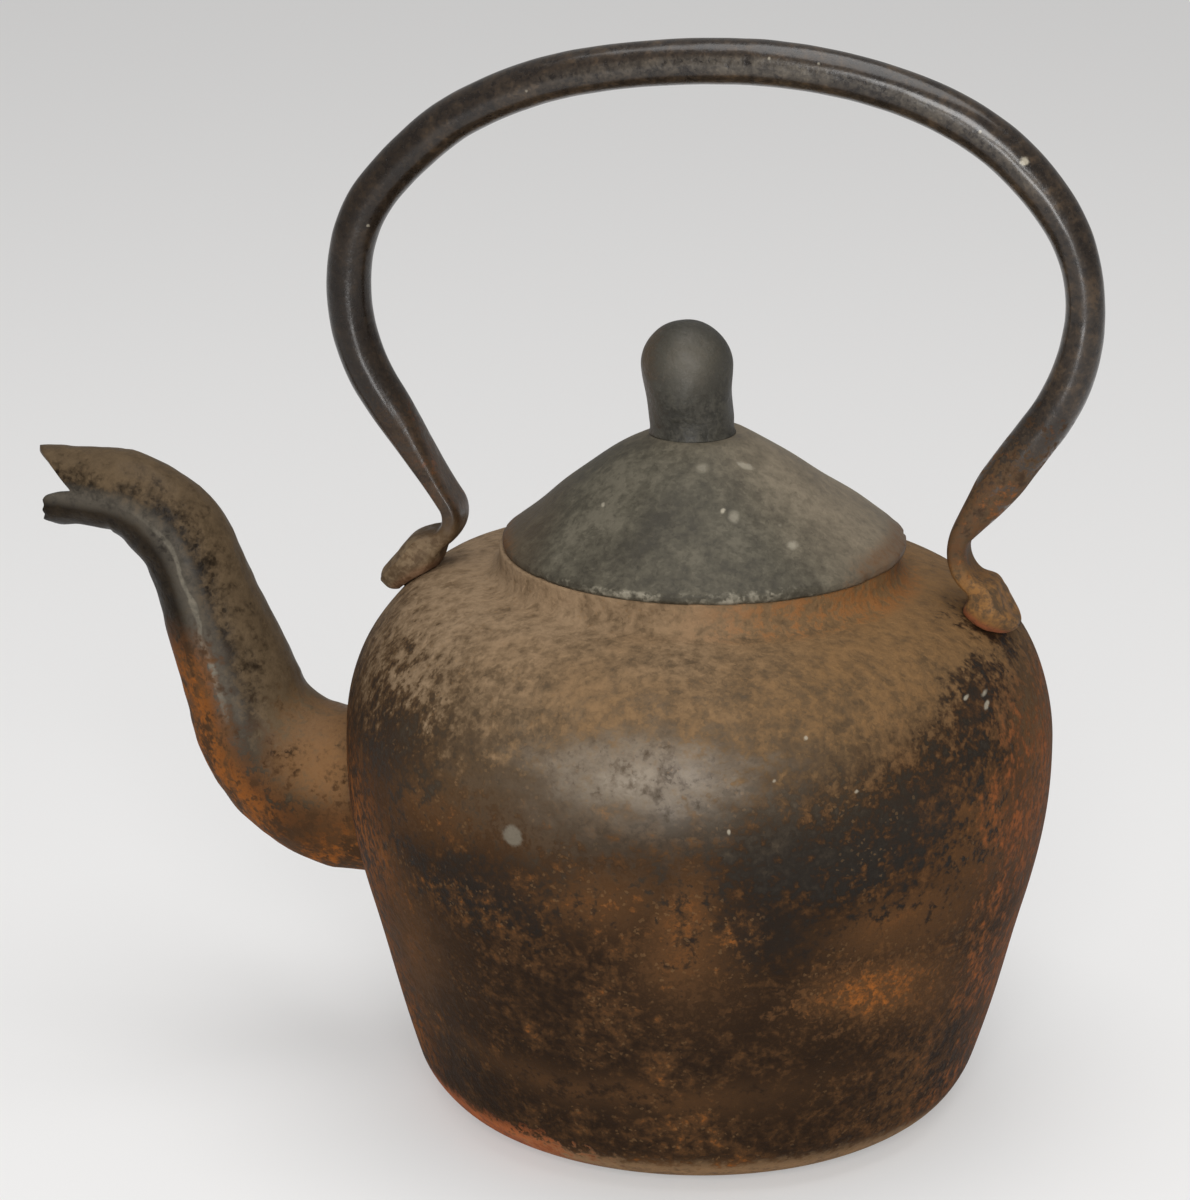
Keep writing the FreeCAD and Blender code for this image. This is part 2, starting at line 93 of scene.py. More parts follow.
# Lid
LID_RADIUS = LID_HIGH.x
LAND_TOP = LID_HIGH.z
SKIRT_END = LID_LOW.z
LID_RIM = 0.0022
LID_CROWN = 0.0013
LID_WALL = 0.0032
LAND_RADIUS = 0.0138
LAND_THICKNESS = 0.0042
SKIRT_OUT = 0.0532
SKIRT_IN = 0.0504
TENON_HOLE = 0.0041
LID_COLUMNS = 320
LID_SIDE_ROWS = 44
LID_OUTSIDE_ROWS = 60
RIM_EDGE = 0.0004
RIM_BEVEL = 0.0003
RIM_STEP = 0.0005
RIM_WIDTH = 0.002
LID_BULGE = 0.0011
BULGE_BAND = (0.027, 0.009)
DIP_BAND = (0.0495, 0.007)
LID_SAG = 0.0008
SAG_BAND = (0.039, 0.008)
SPOUT_SECTOR_BAND = (0.2, 1.1)
REAR_SECTOR_BAND = (0, 1.1)
LID_WAVE = 0.0003
LID_GRAIN = (0.03, 23)
CONE_EASE = (LAND_RADIUS, 0.024)
RIM_EASE = (0.048, 0.058)
LID_SHIFT = 0.0013
SHIFT_EASE = (0.040, 0.058)
RIM_CHIP = 0.0007
CHIP_GRAIN = (0.009, 31)
CHIP_EASE = (0.2, 1.4)

# Knob
KNOB_TOP = KNOB_HIGH.z
PEEN_END = KNOB_LOW.z
PEEN_TOP = 0.1992
PEEN_RADIUS = 0.006
TENON_RADIUS = 0.004
KNOB_FOOT = 0.0119
KNOB_BALL = 0.0132
KNOB_FLARE = 0.0007
KNOB_SHIFT_LOW = -0.0022
KNOB_SHIFT_HIGH = -0.0042
KNOB_COLUMNS = 128
KNOB_ROWS = 64
PEEN_ROWS = 12
STEM_EASE = (-0.004, 0.018)
FLARE_HEIGHT = 0.0009
CROOK_EASE = (-0.006, 0.022)
TENON_GAP = 0.0002
TENON_STEP = 0.002
KNOB_WAVE = 0.0003
KNOB_GRAIN = (0.014, 41)
KNOB_EASE = (0.001, 0.006)

# Spout
ROOT_HEIGHT = 0.0855
ROOT_RADIUS = 0.025
THROAT_RADIUS = 0.0175
NECK_RADIUS = 0.0133
TIP_RADIUS = 0.0108
SPOUT_WALL = 0.003
SPOUT_STUB = 0.0063
ELBOW_INSIDE = 0.0145
RISE_ANGLE = math.radians(70)
RISER = 0.0455
BEND_RADIUS = 0.027
NOSE_ANGLE = math.radians(5)
NOSE = 0.0235
SPIGOT_RADIUS = 0.020
SPIGOT_BORE = 0.017
ROOT_SINK = 0.0003
BEAK_DEPTH = 0.012
BEAK_APEX = 0.0018
BEAK_POINT = 0.0021
LOWER_LIP_REACH = 0.0090
LOWER_LIP_MIDDLE = -0.0060
LOWER_LIP_HALF = 0.0070
SPOUT_SWELL = 0.0006
BEND_SWELL = 0.0004
BEND_FILL = 0.0018
NOSE_CROWN = 0.0013
LIP_FLARE = 0.0015
LIP_WAVE = 0.0007
CROWN_BAND = (0.003, 0.010)
POINT_HALF = 0.6
TONGUE_BREAK = 0.7
BREAK_EASE = (0.2, 0.7)
LIP_WALL = SPOUT_WALL * 0.55
FLARE_EASE = (0.5, 1)
LIP_TEETH = (7, 17)
SPOUT_COLUMNS = 160
ELBOW_ROWS = 40
NOSE_ROWS = 18
STUB_ROWS = 6
RADIUS_BLUR = 6
SPOUT_WAVE = 0.0002
SPOUT_GRAIN = (0.022, 51)
SPOUT_FINE_GRAIN = (0.006, 52)
ROOT_EASE = (BELLY_RADIUS, BELLY_RADIUS + 0.01)

# Bail
BAR_RADIUS = 0.0065
BAIL_APEX = BAIL_HIGH.z - BAR_RADIUS
BAIL_APEX_OFFSET = 0.012
WAIST_RISE = {FRONT: 0.0676, REAR: 0.0718}
BULGE = {FRONT: 0.0317, REAR: 0.0340}
TUCK = {FRONT: 0.0125, REAR: 0.0119}
WAIST_THINNING = {FRONT: 0.0, REAR: 0.0010}
CORNER_PULL = {FRONT: 0.0023, REAR: 0.0008}
CORNER_BAND = (BAIL_APEX - 0.029, 0.016)
TOP_LIFT = 0.0012
LIFT_BAND = (0.062, 0.028)
LIFT_EASE = (BAIL_APEX - 0.032, BAIL_APEX - 0.014)
WAIST_BAND = (BELLY_HEIGHT + SHOULDER_RADIUS + 0.088, 0.02)
LOWER_RADIUS = {FRONT: 0.0573, REAR: 0.0598}
NECK_BEND = {FRONT: 0.0079, REAR: 0.0116}
NECK_REACH = {FRONT: 0.0741, REAR: 0.0764}
NECK_HALF_WIDTH = 0.0078
NECK_HALF_DEPTH = 0.0029
HEEL_RISE = {FRONT: 0.0081, REAR: 0.0074}
PALM_LENGTH = {FRONT: 0.0225, REAR: 0.0166}
PALM_DROP = {FRONT: 0.0031, REAR: 0.0027}
PALM_MIDDLE = {FRONT: 0.45, REAR: 0.42}
PALM_HALF_WIDTH = {FRONT: 0.0104, REAR: 0.0122}
PALM_HALF_DEPTH = {FRONT: 0.0061, REAR: 0.0050}
PALM_SQUARENESS = {FRONT: 2.4, REAR: 2.2}
PALM_HOLLOW = {FRONT: 0.0003, REAR: 0.0012}
PALM_FOOT = {FRONT: 1.0, REAR: 1.7}
TIP_THINNING = {FRONT: 0.35, REAR: 0.50}
PALM_RIDGE = 0.0009
PALM_GAP = 0.0001
EDGE_EASE = (0.0012, 0.0038)
RIDGE_BAND = (0.94, 0.07)
HOLLOW_BAND = (0, 0.5)
BAIL_STEP = 0.0012
BAIL_COLUMNS = 96
PALM_ROWS = 48
PALM_PATH = 0.0055
BAIL_WAVE = 0.00009
BAIL_GRAIN = (0.045, 61)
BAIL_FINE_GRAIN = (0.010, 62)

# Changes along the palm, by shares of its length: 0 at the heel, 1 at the tip
STRAP_EASE = (-2.3, -0.7)
DROP_EASE = (-0.05, 0.55)
PAD_EASE = (-0.1, 0.3)
PAD_SPREAD = 0.3
SQUARE_EASE = (0, 0.35)
THIN_EASE = (0.35, 1)
TIP_START = 0.5
NOSING_START = 0.8
NOSING_LENGTH = 0.2
HOLLOW_EASE = (0.12, 0.35)
HOLLOW_END_EASE = (0.75, 0.95)
HEEL_RIM_EASE = (-0.05, 0.15)
FOOT_EASE = (-0.1, 0.1)
BAR_POWER = 2
STRAP_POWER = 3.8

# Rivets
RIVET_ANGLES = (math.radians(59.3), math.radians(49.4))
RIVET_ENDS = (0.0088, 0.0058)
RIVET_RADIUS = 0.0024
RIVET_TAIL = 0.0046
RIVET_TAIL_TOP = -0.0039
RIVET_TAIL_HEIGHT = 0.0022
RIVET_COLUMNS = 40
TAIL_ROWS = 10


# Curves in a plane of distance and height
def arc(centre, radius, start, end, step=FINE):
    """Points along an arc from one angle to another, evenly spaced, without the last one."""
    count = max(2, round(abs(end - start) * radius / step))
    angle = np.linspace(start, end, count, endpoint=False)
    return np.stack([centre[0] + radius * np.cos(angle), centre[1] + radius * np.sin(angle)], axis=-1)


def line(start, end, step=FINE):
    """Points along a straight run, evenly spaced, without the last one."""
    count = max(1, round(math.dist(start, end) / step))
    share = np.linspace(0, 1, count, endpoint=False)[:, None]
    return (1 - share) * np.array(start) + share * np.array(end)


def polar(centre, radius, angle):
    return centre[0] + radius * math.cos(angle), centre[1] + radius * math.sin(angle)


def hump(value, middle, width):
    """Bell curve: 1 at the middle, falling away over the width."""
    return np.exp(-((value - middle) / width) ** 2)


def eased(value, low, high):
    """Smooth step: 0 below low, 1 above high, with a cubic between."""
    share = np.clip((value - low) / (high - low), 0, 1)
    return share * share * (3 - 2 * share)


def softened(values, reach):
    """Running mean over a count of neighbours to each side, with the ends held."""
    padded = np.pad(values, reach, mode="edge")
    return np.convolve(padded, np.full(2 * reach + 1, 1 / (2 * reach + 1)), mode="valid")


# Surfaces on a grid of rows and columns
def turned(outline, columns):
    """Surface of revolution: each outline point (radius, height) carried round the upright axis."""
    angle = np.arange(columns) * TURN / columns
    radius, height = outline[:, :1], outline[:, 1:]
    return np.stack([radius * np.cos(angle), radius * np.sin(angle), height + 0 * angle], axis=-1)


def facing(points):
    """Outward unit directions: column direction crossed with row direction, by differences."""
    across = np.roll(points, -1, axis=1) - np.roll(points, 1, axis=1)
    along = np.gradient(points, axis=0)
    normal = np.cross(across, along)
    return normal / np.maximum(np.linalg.norm(normal, axis=-1, keepdims=True), 1e-12)


def waviness(points, grain, seed, waves=20):
    """Hand-cast unevenness, about -1 to 1: cosine waves of the grain's length in random directions."""
    rng = np.random.default_rng(seed)
    ways = rng.normal(size=(waves, 3))
    ways *= TURN / np.linalg.norm(ways, axis=1, keepdims=True) / (grain * rng.uniform(0.7, 1.6, (waves, 1)))
    return np.cos(points @ ways.T + rng.uniform(0, TURN, waves)).sum(axis=-1) / math.sqrt(waves)


def piece(name, grids, body, node, finish, ring=False, mark=None):
    """Mesh of grids: columns close round, rows close too on a ring, and rows of one place become poles.

    A mark is a value at every point of a single grid, which the finish reads as an attribute.
    """
    faces = []
    first = 0
    for points in grids:
        rows, columns = points.shape[:2]
        number = first + np.arange(rows * columns).reshape(rows, columns)
        low = number if ring else number[:-1]
        high = np.roll(number, -1, axis=0) if ring else number[1:]
        corners = [low, np.roll(low, -1, axis=1), np.roll(high, -1, axis=1), high]
        faces.append(np.stack(corners, axis=-1).reshape(-1, 4))
        first += rows * columns
    faces = np.concatenate(faces)
    places = np.concatenate([points.reshape(-1, 3) for points in grids])
    mesh = bpy.data.meshes.new(name)
    mesh.vertices.add(len(places))
    mesh.vertices.foreach_set("co", places.astype(np.float32).ravel())
    mesh.loops.add(faces.size)
    mesh.loops.foreach_set("vertex_index", faces.astype(np.int32).ravel())
    mesh.polygons.add(len(faces))
    mesh.polygons.foreach_set("loop_start", np.arange(0, faces.size, 4, dtype=np.int32))
    mesh.update(calc_edges=True)
    if mark is not None:
        layer = mesh.attributes.new("mark", "FLOAT", "POINT")
        layer.data.foreach_set("value", mark.astype(np.float32).ravel())
    shell = bmesh.new()
    shell.from_mesh(mesh)
    bmesh.ops.remove_doubles(shell, verts=shell.verts, dist=SEAM)
    shell.to_mesh(mesh)
    shell.free()
    mesh.polygons.foreach_set("use_smooth", np.ones(len(mesh.polygons), dtype=bool))
    mesh.materials.append(finish)
    made = bpy.data.objects.new(name, mesh)
    bpy.context.scene.collection.objects.link(made)
    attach(made, body)
    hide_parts(node)


# Pot
def shoulder_radius(angle):
    """Radius of the shoulder arc: a little full on its outer half and flat near the collar."""
    fuller = SHOULDER_FULLNESS * hump(angle, *FULL_BAND)
    flatter = SHOULDER_FLATNESS * hump(angle, *FLAT_BAND)
    return SHOULDER_RADIUS + fuller - flatter


def shoulder_lean(points):
    """How far the shoulder stands out from an even one: full at the front palm, flat above the rear one."""
    out = np.hypot(points[..., 0], points[..., 1])
    rearward = points[..., 0] / np.maximum(out, SEAM)
    angle = np.arctan2(points[..., 2] - BELLY_HEIGHT, out - SHOULDER_CENTRE)
    full = FRONT_FULLNESS * np.clip(-rearward, 0, 1) * hump(angle, *FRONT_BAND)
    flat = REAR_FLATNESS * np.clip(rearward, 0, 1) * hump(angle, *REAR_BAND)
    return full - flat


def flank(inset, floor, step):
    """Floor, base corner, straight flank and lower belly, moved inwards by an inset."""
    belly = (BELLY_RADIUS - FLANK_RADIUS, BELLY_HEIGHT)
    end = polar(belly, FLANK_RADIUS - inset, -FLANK_TAPER)
    radius = BASE_CORNER_RADIUS - inset
    height = floor + radius
    at_corner = end[0] - (end[1] - height) * math.tan(FLANK_TAPER)
    corner = (at_corner - radius / math.cos(FLANK_TAPER), height)
    return np.concatenate([
        line((0, floor), (corner[0], floor), COARSE),
        arc(corner, radius, -SQUARE, -FLANK_TAPER, step),
        line(polar(corner, radius, -FLANK_TAPER), end, step),
        arc(belly, FLANK_RADIUS - inset, -FLANK_TAPER, 0, step)])


def shoulder(inset, end_angle, step):
    """Shoulder arc from the belly's widest point up towards the mouth, moved inwards by an inset."""
    count = round(end_angle * SHOULDER_RADIUS / step)
    angle = np.linspace(0, end_angle, count)
    radius = shoulder_radius(angle) - inset
    out = SHOULDER_CENTRE + radius * np.cos(angle)
    return np.stack([out, BELLY_HEIGHT + radius * np.sin(angle)], axis=-1)


def pot_outside():
    """Half section of the pot's outside, from the middle of its base to the foot of the collar."""
    across = COLLAR_RADIUS + COLLAR_FILLET - SHOULDER_CENTRE
    end_angle = math.acos(across / (SHOULDER_RADIUS + COLLAR_FILLET))
    slope = shoulder(0, end_angle, FINE)
    climb = math.atan2(slope[-1, 1] - slope[-2, 1], slope[-2, 0] - slope[-1, 0])
    radius = (slope[-1, 0] - COLLAR_RADIUS) / (1 - math.sin(climb))
    fillet = (COLLAR_RADIUS + radius, slope[-1, 1] + radius * math.cos(climb))
    return np.concatenate([
        flank(0, 0, FINE),
        slope[:-1],
        arc(fillet, radius, 3 * SQUARE - climb, math.pi, FINE / 2)])


def pot_inside():
    """Half section of the pot's inside, from the mouth down to the middle of its floor."""
    end_angle = math.acos((MOUTH_RADIUS - SHOULDER_CENTRE) / (SHOULDER_RADIUS - POT_WALL))
    up = np.concatenate([flank(POT_WALL, FLOOR_THICKNESS, COARSE), shoulder(POT_WALL, end_angle, COARSE)])
    return up[::-1]


def pot_points():
    """Pot turned from its section, with a rounded lip, then moved in and out by the waviness."""
    lip_out = (COLLAR_RADIUS - LIP_ROUND, COLLAR_TOP - LIP_ROUND)
    lip_in = (MOUTH_RADIUS + LIP_ROUND, COLLAR_TOP - LIP_ROUND)
    outline = np.concatenate([
        pot_outside(),
        arc(lip_out, LIP_ROUND, 0, SQUARE, LIP_ROUND / 3),
        arc(lip_in, LIP_ROUND, SQUARE, math.pi, LIP_ROUND / 3),
        [(MOUTH_RADIUS, COLLAR_TOP - LIP_ROUND)],
        pot_inside()])
    points = turned(outline, POT_COLUMNS)
    outer = (np.arange(len(outline)) < len(pot_outside()))[:, None]
    height = points[..., 2]
    loose = eased(height, *BASE_EASE) * (1 - eased(height, *COLLAR_EASE))
    swell = POT_WAVE * loose * waviness(points, *POT_GRAIN)
    swell = swell + np.where(outer, shoulder_lean(points), 0)
    return points + swell[..., None] * facing(points)


def pot_radius(height):
    """Radius of the pot's outside at a height below its shoulder's top."""
    outline = pot_outside()
    keep = outline[:, 1] <= BELLY_HEIGHT + SHOULDER_RADIUS / 2
    return np.interp(height, outline[keep, 1], outline[keep, 0])


# Lid
def lid_points():
    """Lid turned from its section: humped on the spout side, straighter at the rear, and wavy.

    Its chipped rim is a little out of round, further out at the rear.
    """
    rim = np.array((LID_RADIUS, COLLAR_TOP + LID_RIM))
    land = np.array((LAND_RADIUS, LAND_TOP))
    chord = rim - land
    length = np.linalg.norm(chord)
    outwards = np.array((-chord[1], chord[0])) / length
    share = np.linspace(0, 1, LID_SIDE_ROWS)[:, None]
    crown = 4 * LID_CROWN * share * (1 - share)
    side = land + chord * share + outwards * crown
    under = (side - outwards * LID_WALL)[::-1]
    under = under[(under[:, 0] < SKIRT_IN) & (under[:, 1] < LAND_TOP - LAND_THICKNESS)]
    outline = np.concatenate([
        line((TENON_HOLE, LAND_TOP), land),
        side,
        line(rim - (0, RIM_EDGE), (LID_RADIUS, COLLAR_TOP + RIM_BEVEL), RIM_STEP),
        line((LID_RADIUS - RIM_BEVEL, COLLAR_TOP), (SKIRT_OUT, COLLAR_TOP)),
        line((SKIRT_OUT, COLLAR_TOP), (SKIRT_OUT, SKIRT_END)),
        line((SKIRT_OUT, SKIRT_END), (SKIRT_IN, SKIRT_END)),
        line((SKIRT_IN, SKIRT_END), under[0]),
        under,
        line((under[-1, 0], LAND_TOP - LAND_THICKNESS), (TENON_HOLE, LAND_TOP - LAND_THICKNESS)),
        line((TENON_HOLE, LAND_TOP - LAND_THICKNESS), (TENON_HOLE, LAND_TOP))])
    points = turned(outline, LID_COLUMNS)
    radius = np.hypot(points[..., 0], points[..., 1])
    outside = (np.arange(len(outline)) < LID_OUTSIDE_ROWS)[:, None]
    top_side = (points[..., 2] > COLLAR_TOP + LID_RIM / 2) & outside
    spout_side = hump(np.arctan2(points[..., 1], -points[..., 0]), *SPOUT_SECTOR_BAND)
    rear_side = hump(np.arctan2(points[..., 1], points[..., 0]), *REAR_SECTOR_BAND)
    on_cone = eased(radius, *CONE_EASE) * (1 - eased(radius, *RIM_EASE))
    humped = hump(radius, *BULGE_BAND) - hump(radius, *DIP_BAND)
    drop = LID_SAG * rear_side * hump(radius, *SAG_BAND) - LID_BULGE * spout_side * humped
    drop = drop + LID_WAVE * on_cone * waviness(points, *LID_GRAIN)
    points[..., 2] -= np.where(top_side, drop, 0)
    angle = np.arctan2(points[..., 1], points[..., 0])
    round_rim = np.stack([np.cos(angle), np.sin(angle), 0 * angle], -1) * LID_RADIUS
    ragged = waviness(round_rim, *CHIP_GRAIN)
    chipped = RIM_CHIP * eased(ragged, *CHIP_EASE) * eased(radius, LID_RADIUS - RIM_WIDTH, LID_RADIUS)
    points[..., :2] *= (1 - chipped / np.maximum(radius, SEAM))[..., None]
    below = eased(radius, SKIRT_OUT, LID_RADIUS - RIM_WIDTH)
    outer = np.where(top_side, eased(radius, *SHIFT_EASE), below)
    points[..., 0] += LID_SHIFT * outer
    return points


# Knob
def knob_points():
    """Knob turned about a crooked axis: its rings shift towards the spout with height; tenon below."""
    top = KNOB_TOP - LAND_TOP
    rise = np.linspace(0, 1, KNOB_ROWS)
    ball_height = top - KNOB_BALL
    height = np.concatenate([ball_height * rise[:-1], ball_height + KNOB_BALL * np.sin(SQUARE * rise)])
    stem = KNOB_FOOT + (KNOB_BALL - KNOB_FOOT) * eased(height, *STEM_EASE)
    stem += KNOB_FLARE * np.exp(-height / FLARE_HEIGHT)
    dome = np.sqrt(np.clip(1 - (np.maximum(height - ball_height, 0) / KNOB_BALL) ** 2, 0, 1))
    radius = stem * dome
    peen = np.linspace(0, 1, PEEN_ROWS)
    cap = np.stack([PEEN_RADIUS * np.sin(SQUARE * peen),
                    PEEN_END + (PEEN_TOP - PEEN_END) * (1 - np.cos(SQUARE * peen))], -1)
    outline = np.concatenate([
        cap,
        line((TENON_RADIUS, PEEN_TOP), (TENON_RADIUS, LAND_TOP + TENON_GAP), TENON_STEP),
        np.stack([radius, LAND_TOP + height], -1)])
    points = turned(outline, KNOB_COLUMNS)
    above = points[..., 2] - LAND_TOP
    shift = KNOB_SHIFT_LOW + (KNOB_SHIFT_HIGH - KNOB_SHIFT_LOW) * eased(above, *CROOK_EASE)
    points[..., 0] += np.where(above >= 0, shift, 0)
    swell = KNOB_WAVE * eased(above, *KNOB_EASE) * waviness(points, *KNOB_GRAIN)
    return points + swell[..., None] * facing(points)


# Spout
def spout_way():
    """Centreline of the horn by distance out, height, heading and radius: elbow, riser and bend.

    Two more values of each ring are its fullness inside the bend and on top of the nose.
    """
    share = np.linspace(0, 1, ELBOW_ROWS, endpoint=False)
    heading = RISE_ANGLE * share
    outside = ROOT_RADIUS + (THROAT_RADIUS - ROOT_RADIUS) * share
    pivot = (BELLY_RADIUS + SPOUT_STUB, ROOT_HEIGHT + ELBOW_INSIDE + ROOT_RADIUS)
    swing = ELBOW_INSIDE + outside
    elbow = np.stack([pivot[0] + swing * np.sin(heading), pivot[1] - swing * np.cos(heading)], -1)
    foot = polar(pivot, ELBOW_INSIDE + THROAT_RADIUS, RISE_ANGLE - SQUARE)
    top = polar(foot, RISER, RISE_ANGLE)
    riser = line(foot, top)
    bend_centre = polar(top, BEND_RADIUS, RISE_ANGLE - SQUARE)
    bend = arc(bend_centre, BEND_RADIUS, RISE_ANGLE + SQUARE, NOSE_ANGLE + SQUARE)
    places = np.concatenate([elbow, riser, bend])
    headings = np.concatenate([
        heading,
        np.full(len(riser), RISE_ANGLE),
        np.linspace(RISE_ANGLE, NOSE_ANGLE, len(bend), endpoint=False)])
    run = BEND_RADIUS * (RISE_ANGLE - NOSE_ANGLE)
    nose_radius = NECK_RADIUS + (TIP_RADIUS - NECK_RADIUS) * run / (run + NOSE)
    radii = np.concatenate([
        outside,
        np.linspace(THROAT_RADIUS, NECK_RADIUS, len(riser), endpoint=False),
        np.linspace(NECK_RADIUS, nose_radius, len(bend), endpoint=False)])
    nose = polar(bend_centre, BEND_RADIUS, NOSE_ANGLE + SQUARE)
    ring = np.arange(len(radii))
    bend_start = len(elbow) + len(riser)
    fuller = SPOUT_SWELL * hump(ring, len(elbow) + len(riser) / 3, len(riser) / 2)
    fuller = fuller + BEND_SWELL * hump(ring, bend_start + len(bend) / 4, len(bend) / 2)
    inside = BEND_FILL * hump(ring, bend_start + len(bend) / 2, len(bend) / 2.5)
    crown = nose_crown((ring - len(ring)) * FINE)
    radii = softened(radii, RADIUS_BLUR) + fuller
    return places, headings, radii, inside, crown, nose, nose_radius + fuller[-1]


def nose_crown(distance):
    """Height of the hump on top of the nose, by the distance past the bend's end."""
    return NOSE_CROWN * hump(distance, *CROWN_BAND)


def horn_rings(places, headings, radii, around):
    """Rings across the horn's way, of a radius at each angle; the angle starts on the upper side."""
    across = np.stack([np.sin(headings), 0 * headings, np.cos(headings)], -1)
    centre = np.stack([-places[..., 0], 0 * headings, places[..., 1]], -1)
    lift = (radii * np.cos(around))[..., None] * across[:, None]
    sideways = (radii * np.sin(around))[..., None] * np.array((0, 1, 0))
    return centre[:, None] + lift + sideways


def beak_reach(around):
    """How far the nose runs out at each angle round it: a pointed upper lip and a tongue for a lower lip.

    The tongue is broken short on the far side.
    """
    level = TIP_RADIUS * np.cos(around)
    upper = BEAK_DEPTH * np.clip((level - BEAK_APEX) / (TIP_RADIUS - BEAK_APEX), 0, 1)
    point = BEAK_POINT * np.clip(1 - np.abs(np.sin(around)) / POINT_HALF, 0, 1)
    tongue = np.sqrt(np.clip(1 - ((level - LOWER_LIP_MIDDLE) / LOWER_LIP_HALF) ** 2, 0, 1))
    left = 1 - TONGUE_BREAK * eased(np.sin(around), *BREAK_EASE)
    torn = LIP_WAVE * (np.sin(LIP_TEETH[0] * around + 1) + 0.6 * np.sin(LIP_TEETH[1] * around))
    return np.where(level > BEAK_APEX, upper + point, (LOWER_LIP_REACH + torn) * tongue * left)


def nose_rings(nose, start_radius, inset, around):
    """Straight end of the horn, whose rings stretch to the beak's own reach at each angle round it."""
    reach = NOSE - BEAK_DEPTH + beak_reach(around)
    share = np.linspace(0, 1, NOSE_ROWS)[:, None]
    gone = share * reach
    radius = start_radius + (TIP_RADIUS - start_radius) * gone / NOSE - inset
    radius = radius + nose_crown(gone) * np.clip(np.cos(around), 0, 1)
    radius = radius + LIP_FLARE * eased(share, *FLARE_EASE) * np.clip(-np.cos(around), 0, 1)
    out = nose[0] + gone * math.cos(NOSE_ANGLE) - radius * np.cos(around) * math.sin(NOSE_ANGLE)
    height = nose[1] + gone * math.sin(NOSE_ANGLE) + radius * np.cos(around) * math.cos(NOSE_ANGLE)
    return np.stack([-out, radius * np.sin(around), height], -1)


def spout_points():
    """Closed horn: outside from the pot to the beak, back down the bore, and the spigot in the pot's wall.

    The second grid is 1 on the horn's upper side, 0 at its flanks and -1 below.
    """
    around = np.arange(SPOUT_COLUMNS) * TURN / SPOUT_COLUMNS
    places, headings, radii, inside, crown, nose, nose_radius = spout_way()

    def on_pot(radius, inset, sink):
        height = ROOT_HEIGHT + radius * np.cos(around)
        side = radius * np.sin(around)
        reach = pot_radius(height) - inset
        return np.stack([sink - np.sqrt(reach**2 - side**2), side, height], -1)[None]

    radii = radii[:, None]
    upper = np.clip(np.cos(around), 0, 1)
    lower = np.clip(-np.cos(around), 0, 1)
    outside = horn_rings(places, headings, radii + inside[:, None] * lower + crown[:, None] * upper, around)
    tip = nose_rings(nose, nose_radius, 0, around)
    bore_radii = np.minimum(radii - SPOUT_WALL, SPIGOT_BORE)
    bore = horn_rings(places, headings, bore_radii, around)
    bore_tip = nose_rings(nose, nose_radius, LIP_WALL, around)
    root = on_pot(ROOT_RADIUS, 0, ROOT_SINK)
    share = np.linspace(0, 1, STUB_ROWS, endpoint=False)[:, None, None]
    stub = (1 - share) * root + share * outside[:1]
    skin = np.concatenate([stub, outside, tip])
    rough = SPOUT_WAVE * (waviness(skin, *SPOUT_GRAIN) + 0.5 * waviness(skin, *SPOUT_FINE_GRAIN))
    rough *= eased(-skin[..., 0], *ROOT_EASE)
    skin = skin + rough[..., None] * facing(skin)
    points = np.concatenate([
        skin,
        bore_tip[::-1],
        bore[::-1],
        on_pot(SPIGOT_BORE, POT_WALL, 0),
        on_pot(SPIGOT_RADIUS, POT_WALL, 0),
        on_pot(SPIGOT_RADIUS, 0, ROOT_SINK)])
    return points, np.broadcast_to(np.cos(around), points.shape[:2])


